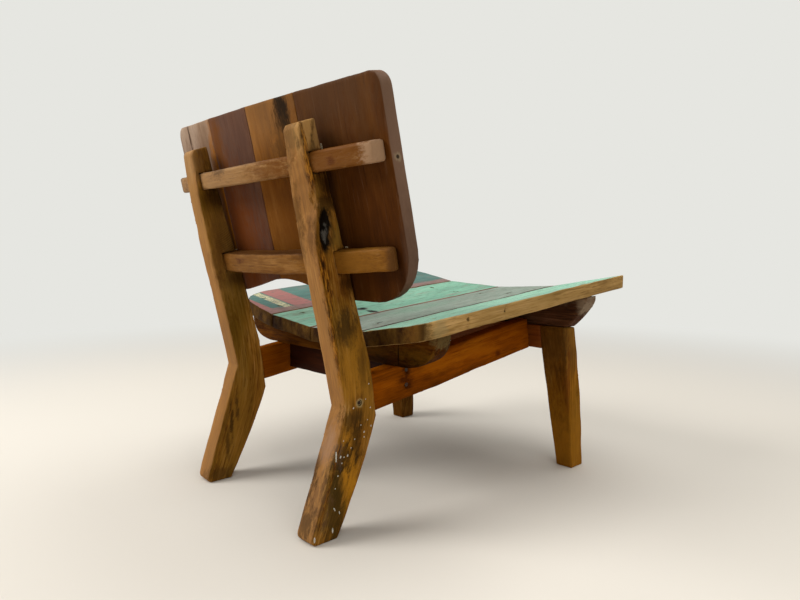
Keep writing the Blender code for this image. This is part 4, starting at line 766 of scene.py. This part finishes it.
# Battens: two bowed teak bars, rounded by wear, let into the front edges of the uprights and screwed
# there. Their ends are left as they were sawn.
BATTEN_GRID = 0.008
BATTEN_NIBBLE = 0.0020
batten_marks = {
    "upper": [
        # Painted highlight: the left part paler, where the light falls.
        ((0.120, 0.400, 0.684), (0.150, 0.100, 0.070), "#a8855e", 0.35, 0.4, 0.6),
        ((-0.260, 0.380, 0.680), (0.150, 0.100, 0.070), "#663806", 0.85, 0.5, 0.4),
        ((0.083, 0.405, 0.690), (0.028, 0.030, 0.016), "#3c2410", 0.60, 0.8, 0.5),
        ((-0.100, 0.405, 0.668), (0.070, 0.030, 0.012), "#6a3f14", 0.55, 0.7, 0.5),
        ((-0.272, 0.380, 0.672), (0.006, 0.030, 0.006), "#4a1f0a", 0.55, 0.8, 0.6),
        ((-0.362, 0.345, 0.684), (0.024, 0.090, 0.070), "#a68668", 0.75, 0.60, 0.35),
        ((0.356, 0.340, 0.680), (0.016, 0.080, 0.070), "#7f6a54", 0.70, 0.4, 0.3),
    ],
    "lower": [
        ((0.110, 0.345, 0.500), (0.160, 0.100, 0.070), "#5f3a12", 0.60, 0.4, 0.6),
        ((0.087, 0.360, 0.502), (0.016, 0.020, 0.006), "#4e280e", 0.80, 0.6, 0.4),
        ((-0.250, 0.330, 0.500), (0.100, 0.100, 0.070), "#875819", 0.65, 0.6, 0.5),
        ((-0.344, 0.300, 0.500), (0.010, 0.060, 0.040), "#4c2f16", 0.75, 0.5, 0.4),
        ((-0.160, 0.360, 0.516), (0.040, 0.020, 0.010), "#4a2a0c", 0.60, 0.8, 0.6),
        ((0.110, 0.362, 0.5245), (0.100, 0.024, 0.0075), "#3a1e0a", 0.80, 0.4, 0.5),
        ((-0.060, 0.366, 0.5245), (0.100, 0.024, 0.0075), "#3a1e0a", 0.80, 0.4, 0.5),
    ],
}
for level, tones, heart in (("upper", ("#5e3c14", "#976f42", "#b59064", "#7f5524"), (0.60, 0.20, 0.0)),
                            ("lower", ("#4a2a08", "#784c1c", "#986c38", "#5f380e"), (0.42, 0.14, 0.0))):
    # Golden teak sapwood, spokeshaved round and waxed, with short bright flecks.
    batten_teak, tree = new_material(f"waxed_golden_teak_{level}_batten")
    seen, fibre, height, place, grain = timber(
        tree, tones, ALONG_X, heart, ring=0.010, figure=(0.05, 0.50, 0.90, 0.50))
    seen = facing(tree, seen, "Z", start=0.45, full=0.85, code="#3c200b", strength=0.75)
    seen = edge_wear_and_highlight(tree, seen, fibre, "#98754a", strength=0.35)
    seen = stains_and_painted_light(tree, seen, place, grain, batten_marks[level])
    finish(tree, seen, height, fibre, roughness=(0.46, 0.62), bump=0.0009, sheen=0.06)
    worn(f"{level}_batten", BATTEN_GRID, BATTEN_NIBBLE).data.materials.append(batten_teak)

# Nails and screws: dull wrought and drawn steel. The seat nails were painted over with their planks,
# the rail nails and the screws stand bare and a little rusty in their holes.
RUST_SPAN = 0.003           # patches of rust or flaked paint
RUST_EDGE = 0.06            # softness of their edges
METAL_SHARE = 0.6           # the rest is dirt and rust


def old_steel(name, clean, rust, share):
    """Dull steel with rust, or flaking paint, in patches; share moves the line between the two."""
    made, tree = new_material(name)
    place = add(tree, "TexCoord", {}, "Object")
    patch = mottle(tree, place, RUST_SPAN, detail=4.0)
    mask = between(tree, patch, share - RUST_EDGE, share + RUST_EDGE)
    seen = overlay(tree, mask, clean, rust)
    finish(tree, seen, patch, patch, roughness=(0.45, 0.75), bump=0.0002, sheen=0.30)
    return made


def dress(names, made):
    """Gives the CAD nodes of small pieces their material."""
    for name in names:
        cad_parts[name].data.materials.clear()
        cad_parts[name].data.materials.append(made)


# Bare steel: dark, with brown rust in patches.
bare_steel = old_steel("dull_rusty_steel", "#3b3733", "#4a2a18", share=0.50)
bare_steel.node_tree.nodes["Principled BSDF"].inputs["Metallic"].default_value = METAL_SHARE
dress([f"board_screw_{n}_{w}" for n in range(1, 5) for w in ("upper", "lower")], bare_steel)
dress([f"batten_screw_{w}_{s}" for w in ("upper", "lower") for s in ("right", "left")], bare_steel)
dress([f"rail_nail_{s}_{letter}" for s in ("right", "left") for letter in "ab"], bare_steel)
# Painted steel: the tint of each plank's own paint, flaked to rust in places.
plank_tints = ("#466961", "#6d9e84", "#798577", "#83b399")
for number, tint in enumerate(plank_tints, start=1):
    painted_nail = old_steel(f"painted_nail_{number}", tint, "#4a3020", share=0.66)
    nail_names = [f"seat_nail_{number}{letter}_{row}" for letter in "ab" for row in ("back", "front")]
    dress(nail_names, painted_nail)

# Pegs and dowels: turned teak pins driven into bored holes. Those in the knees show their end grain, with
# a ring of pale filler round the edge.
KNEE_PEG = (0.0, 0.291336, 0.2435)
FILLER_START = 0.0034       # the filler shows from here, out from the peg's middle
FILLER_FULL = 0.0042
SPECKLE = 0.0012            # pores in end grain are 0.3 mm wide; drawn coarser, to show
# End grain of teak: dark and finely speckled, dull, with the pale filler round it.
peg_teak, tree = new_material("end_grain_teak_peg")
place = add(tree, "TexCoord", {}, "Object")
speckle = mottle(tree, place, SPECKLE, detail=3.0)
axes = add(tree, "SeparateXYZ", {0: place}, None)
end_face = add(tree, "CombineXYZ", {"Y": axes["Y"], "Z": axes["Z"]})
off = add(tree, "VectorMath", {"operation": "DISTANCE", 0: end_face, 1: KNEE_PEG}, "Value")
ring = between(tree, off, FILLER_START, FILLER_FULL)
core = add(tree, "ValToRGB", {"stops": [(0.35, "#140b05"), (0.65, "#3a2612")], "Fac": speckle})
seen = overlay(tree, ring, core, "#a08a5c")
finish(tree, seen, speckle, speckle, roughness=(0.55, 0.75), bump=0.0003, sheen=0.20)
for pin in ("leg_peg", "front_peg", "bearer_dowel"):
    dress([f"{pin}_{side}" for side in ("right", "left")], peg_teak)

# Paint splashes and glue: drops of white paint dried on the right rear leg, and beads of glue squeezed
# out where the battens meet the uprights. Each is a low dome set into the wood.
DROP_SIDES = 10
DROP_RISE = (-0.35, 0.30, 0.72, 0.94)   # height of each ring of a drop, as a share of its thickness
DROP_WIDTH = (1.0, 0.96, 0.70, 0.35)    # and its width, as a share of the drop's
DROP_WOBBLE = 0.25                      # no drop is quite round
WOBBLE_SCALE = 400.0                    # and each is out of round in its own way
DIRT_SPAN = 0.002


def drop(shape, centre, out, along, length, width, thick):
    """Adds one drop of paint or glue: a low dome on a face that looks out, drawn along a direction."""
    out = Vector(out).normalized()
    along = Vector(along) - out * Vector(along).dot(out)
    along.normalize()
    across = out.cross(along)
    seat = Vector(centre) + sway(Vector(centre))
    rings = []
    for rise, wide in zip(DROP_RISE, DROP_WIDTH):
        ring = []
        for side in range(DROP_SIDES):
            turn = 2.0 * math.pi * side / DROP_SIDES
            ahead = math.cos(turn)
            aside = math.sin(turn)
            wobble = 1.0 + DROP_WOBBLE * noise.noise(seat * WOBBLE_SCALE + Vector((ahead, aside, 0.0)))
            reach = along * (ahead * length * wide * wobble)
            reach += across * (aside * width * wide * wobble)
            ring.append(shape.verts.new(seat + reach + out * (rise * thick)))
        rings.append(ring)
    for lower, upper in zip(rings, rings[1:]):
        for side in range(DROP_SIDES):
            after = (side + 1) % DROP_SIDES
            shape.faces.new((lower[side], lower[after], upper[after], upper[side]))
    shape.faces.new(rings[-1])
    shape.faces.new(tuple(reversed(rings[0])))


def dried(name, code, shade, drops):
    """One piece of dried drops, with a slightly dirty, matt surface."""
    shape = bmesh.new()
    for one in drops:
        drop(shape, *one)
    bmesh.ops.recalc_face_normals(shape, faces=shape.faces)
    mesh = bpy.data.meshes.new(name)
    shape.to_mesh(mesh)
    shape.free()
    mesh.shade_smooth()
    piece = bpy.data.objects.new(name, mesh)
    bpy.context.scene.collection.objects.link(piece)
    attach(piece, "root")
    made, tree = new_material(name)
    place = add(tree, "TexCoord", {}, "Object")
    dirt = mottle(tree, place, DIRT_SPAN, detail=3.0)
    seen = add(tree, "ValToRGB", {"stops": [(0.35, shade), (0.60, code)], "Fac": dirt})
    finish(tree, seen, dirt, dirt, roughness=(0.50, 0.70), bump=0.0002, sheen=0.30)
    mesh.materials.append(made)


DOWN = (0.0, 0.0, -1.0)
FOOT_LINE = (0.0, 0.36, -0.93)          # down along the foot
SPLASH_LONG = 1.3                       # a splash is drawn out a little along the foot
SPLASH_WIDE = 0.85
SPLASH_THICK = 0.0006
RUN_WIDTH = 0.0017                      # longer runs of paint
RUN_THICK = 0.0008
splashes = []
for y, z, half in ((0.2679, 0.2756, 0.0012), (0.3051, 0.2365, 0.0016), (0.2645, 0.2301, 0.0012),
                   (0.2635, 0.1943, 0.0015), (0.2806, 0.1863, 0.0017), (0.2807, 0.1767, 0.0014),
                   (0.3033, 0.1777, 0.0011), (0.3288, 0.1795, 0.0012), (0.3359, 0.1513, 0.0020),
                   (0.3280, 0.1494, 0.0013), (0.3199, 0.1503, 0.0018), (0.3420, 0.1174, 0.0014),
                   (0.2720, 0.2080, 0.0010), (0.2880, 0.2010, 0.0010), (0.3120, 0.1630, 0.0010),
                   (0.3480, 0.0950, 0.0011), (0.2760, 0.2480, 0.0010), (0.3330, 0.1390, 0.0012)):
    splashes.append(((RIGHT_OUTER, y, z), OUTWARD, FOOT_LINE, half * SPLASH_LONG,
                     half * SPLASH_WIDE, SPLASH_THICK))
for y, z, length in ((0.3455, 0.153, 0.010), (0.3550, 0.019, 0.0055), (0.3945, 0.0130, 0.0055)):
    splashes.append(((RIGHT_OUTER, y, z), OUTWARD, DOWN, length, RUN_WIDTH, RUN_THICK))
splashes.append(((RIGHT_OUTER, 0.3505, 0.0570), OUTWARD, (0.0, 0.40, 0.92), 0.0040, 0.0014, 0.0007))
splashes.append(((RIGHT_OUTER, 0.3395, 0.0480), OUTWARD, (0.0, 0.20, 0.98), 0.0030, 0.0012, 0.0007))
# Dried white paint: chalky, a little dirty.
dried("dried_white_paint", "#d6d2c6", "#9c957f", splashes)
# Dried wood glue: pale amber beads along the joints.
beads = [((-0.2235, 0.3135, 0.531), (-0.7, 0.0, 0.7), (0.0, 1.0, 0.0), 0.0060, 0.0018, 0.0012),
         ((-0.2050, 0.3540, 0.706), (-0.7, 0.7, 0.0), (0.0, 0.2, 1.0), 0.0070, 0.0018, 0.0012),
         ((0.1830, 0.3152, 0.527), (-0.7, 0.0, 0.7), (0.0, 1.0, 0.0), 0.0050, 0.0015, 0.0010)]
dried("dried_wood_glue", "#b9a888", "#7d6a4a", beads)

# Floor, light and camera: a plain pale sweep, a large soft light high on the left, a soft one overhead,
# and the photograph's own viewpoint.
FLOOR_REACH = 9.0
FLOOR_ROUGHNESS = 0.8
BACKDROP = "#e6e6e1"
FADE_START = 1.1            # the floor keeps its shadows out to here
FADE_END = 3.2              # and has turned into the backdrop here
SKY_STRENGTH = 0.30


def eye_rays(tree):
    """1 for the rays that bring the plain backdrop to the eye, straight, by a mirror or through glass."""
    path = add(tree, "LightPath", {}, None)
    seen = path["Is Camera Ray"]
    for other in ("Is Glossy Ray", "Is Transmission Ray"):
        seen = calc(tree, "MAXIMUM", seen, path[other])
    return seen


floor_mesh = bpy.data.meshes.new("floor")
corners = [(x * FLOOR_REACH, y * FLOOR_REACH, 0.0) for x, y in ((-1, -1), (1, -1), (1, 1), (-1, 1))]
floor_mesh.from_pydata(corners, [], [(0, 1, 2, 3)])
floor = bpy.data.objects.new("floor", floor_mesh)
bpy.context.scene.collection.objects.link(floor)
# Matt floor paint: pale, without gloss, and turning into the backdrop far out.
floor_paint, tree = new_material("pale_matt_floor")
shader = tree.nodes["Principled BSDF"]
shader.inputs["Base Color"].default_value = colour("#d8d1c5")
shader.inputs["Roughness"].default_value = FLOOR_ROUGHNESS
place = add(tree, "TexCoord", {}, "Object")
away = add(tree, "VectorMath", {"operation": "LENGTH", 0: place}, "Value")
fade = add(tree, "MapRange", {"interpolation_type": "SMOOTHSTEP", "Value": away, "From Min": FADE_START,
                              "From Max": FADE_END})
share = calc(tree, "MULTIPLY", fade, eye_rays(tree))
sweep = add(tree, "Emission", {"Color": BACKDROP, "Strength": 1.0})
choose = add(tree, "MixShader", {0: share, 1: shader.outputs[0], 2: sweep})
tree.links.new(choose, tree.nodes["Material Output"].inputs["Surface"])
floor_mesh.materials.append(floor_paint)

world = bpy.data.worlds.new("studio")
bpy.context.scene.world = world
world.use_nodes = True
tree = world.node_tree
sky = tree.nodes["Background"]
sky.inputs["Color"].default_value = colour("#f4f4f2")
sky.inputs["Strength"].default_value = SKY_STRENGTH
backdrop = add(tree, "Background", {"Color": BACKDROP, "Strength": 1.0})
choose = add(tree, "MixShader", {0: eye_rays(tree), 1: sky.outputs[0], 2: backdrop})
tree.links.new(choose, tree.nodes["World Output"].inputs["Surface"])


def soft_light(name, place, target, size, power):
    """Adds a round, soft lamp that looks at a target."""
    lamp = bpy.data.lights.new(name, "AREA")
    lamp.shape = "DISK"
    lamp.size = size
    lamp.energy = power
    holder = bpy.data.objects.new(name, lamp)
    holder.location = place
    holder.rotation_euler = (Vector(target) - Vector(place)).to_track_quat("-Z", "Y").to_euler()
    bpy.context.scene.collection.objects.link(holder)


soft_light("window_light", (2.0, 3.1, 3.1), target=(0.0, 0.0, 0.4), size=2.6, power=160.0)
soft_light("room_light", (-3.0, 1.0, 2.6), target=(0.0, 0.0, 0.4), size=3.0, power=38.0)
soft_light("ceiling_light", (-0.2, -0.6, 3.4), target=(0.0, 0.0, 0.3), size=3.0, power=75.0)

EYE = Vector((-1.1008, 0.9912, 0.5307))
YAW = math.radians(132.56)
PITCH = math.radians(-4.904)
camera = bpy.data.objects.new("camera", bpy.data.cameras.new("camera"))
camera.data.sensor_fit = "HORIZONTAL"
camera.data.sensor_width = 36.0
camera.data.lens = 27.62
camera.data.clip_start = 0.05
ahead = Vector((math.sin(YAW) * math.cos(PITCH), math.cos(YAW) * math.cos(PITCH), math.sin(PITCH)))
camera.location = EYE
camera.rotation_euler = ahead.to_track_quat("-Z", "Y").to_euler()
bpy.context.scene.collection.objects.link(camera)
bpy.context.scene.camera = camera
bpy.context.scene.view_settings.view_transform = "Standard"
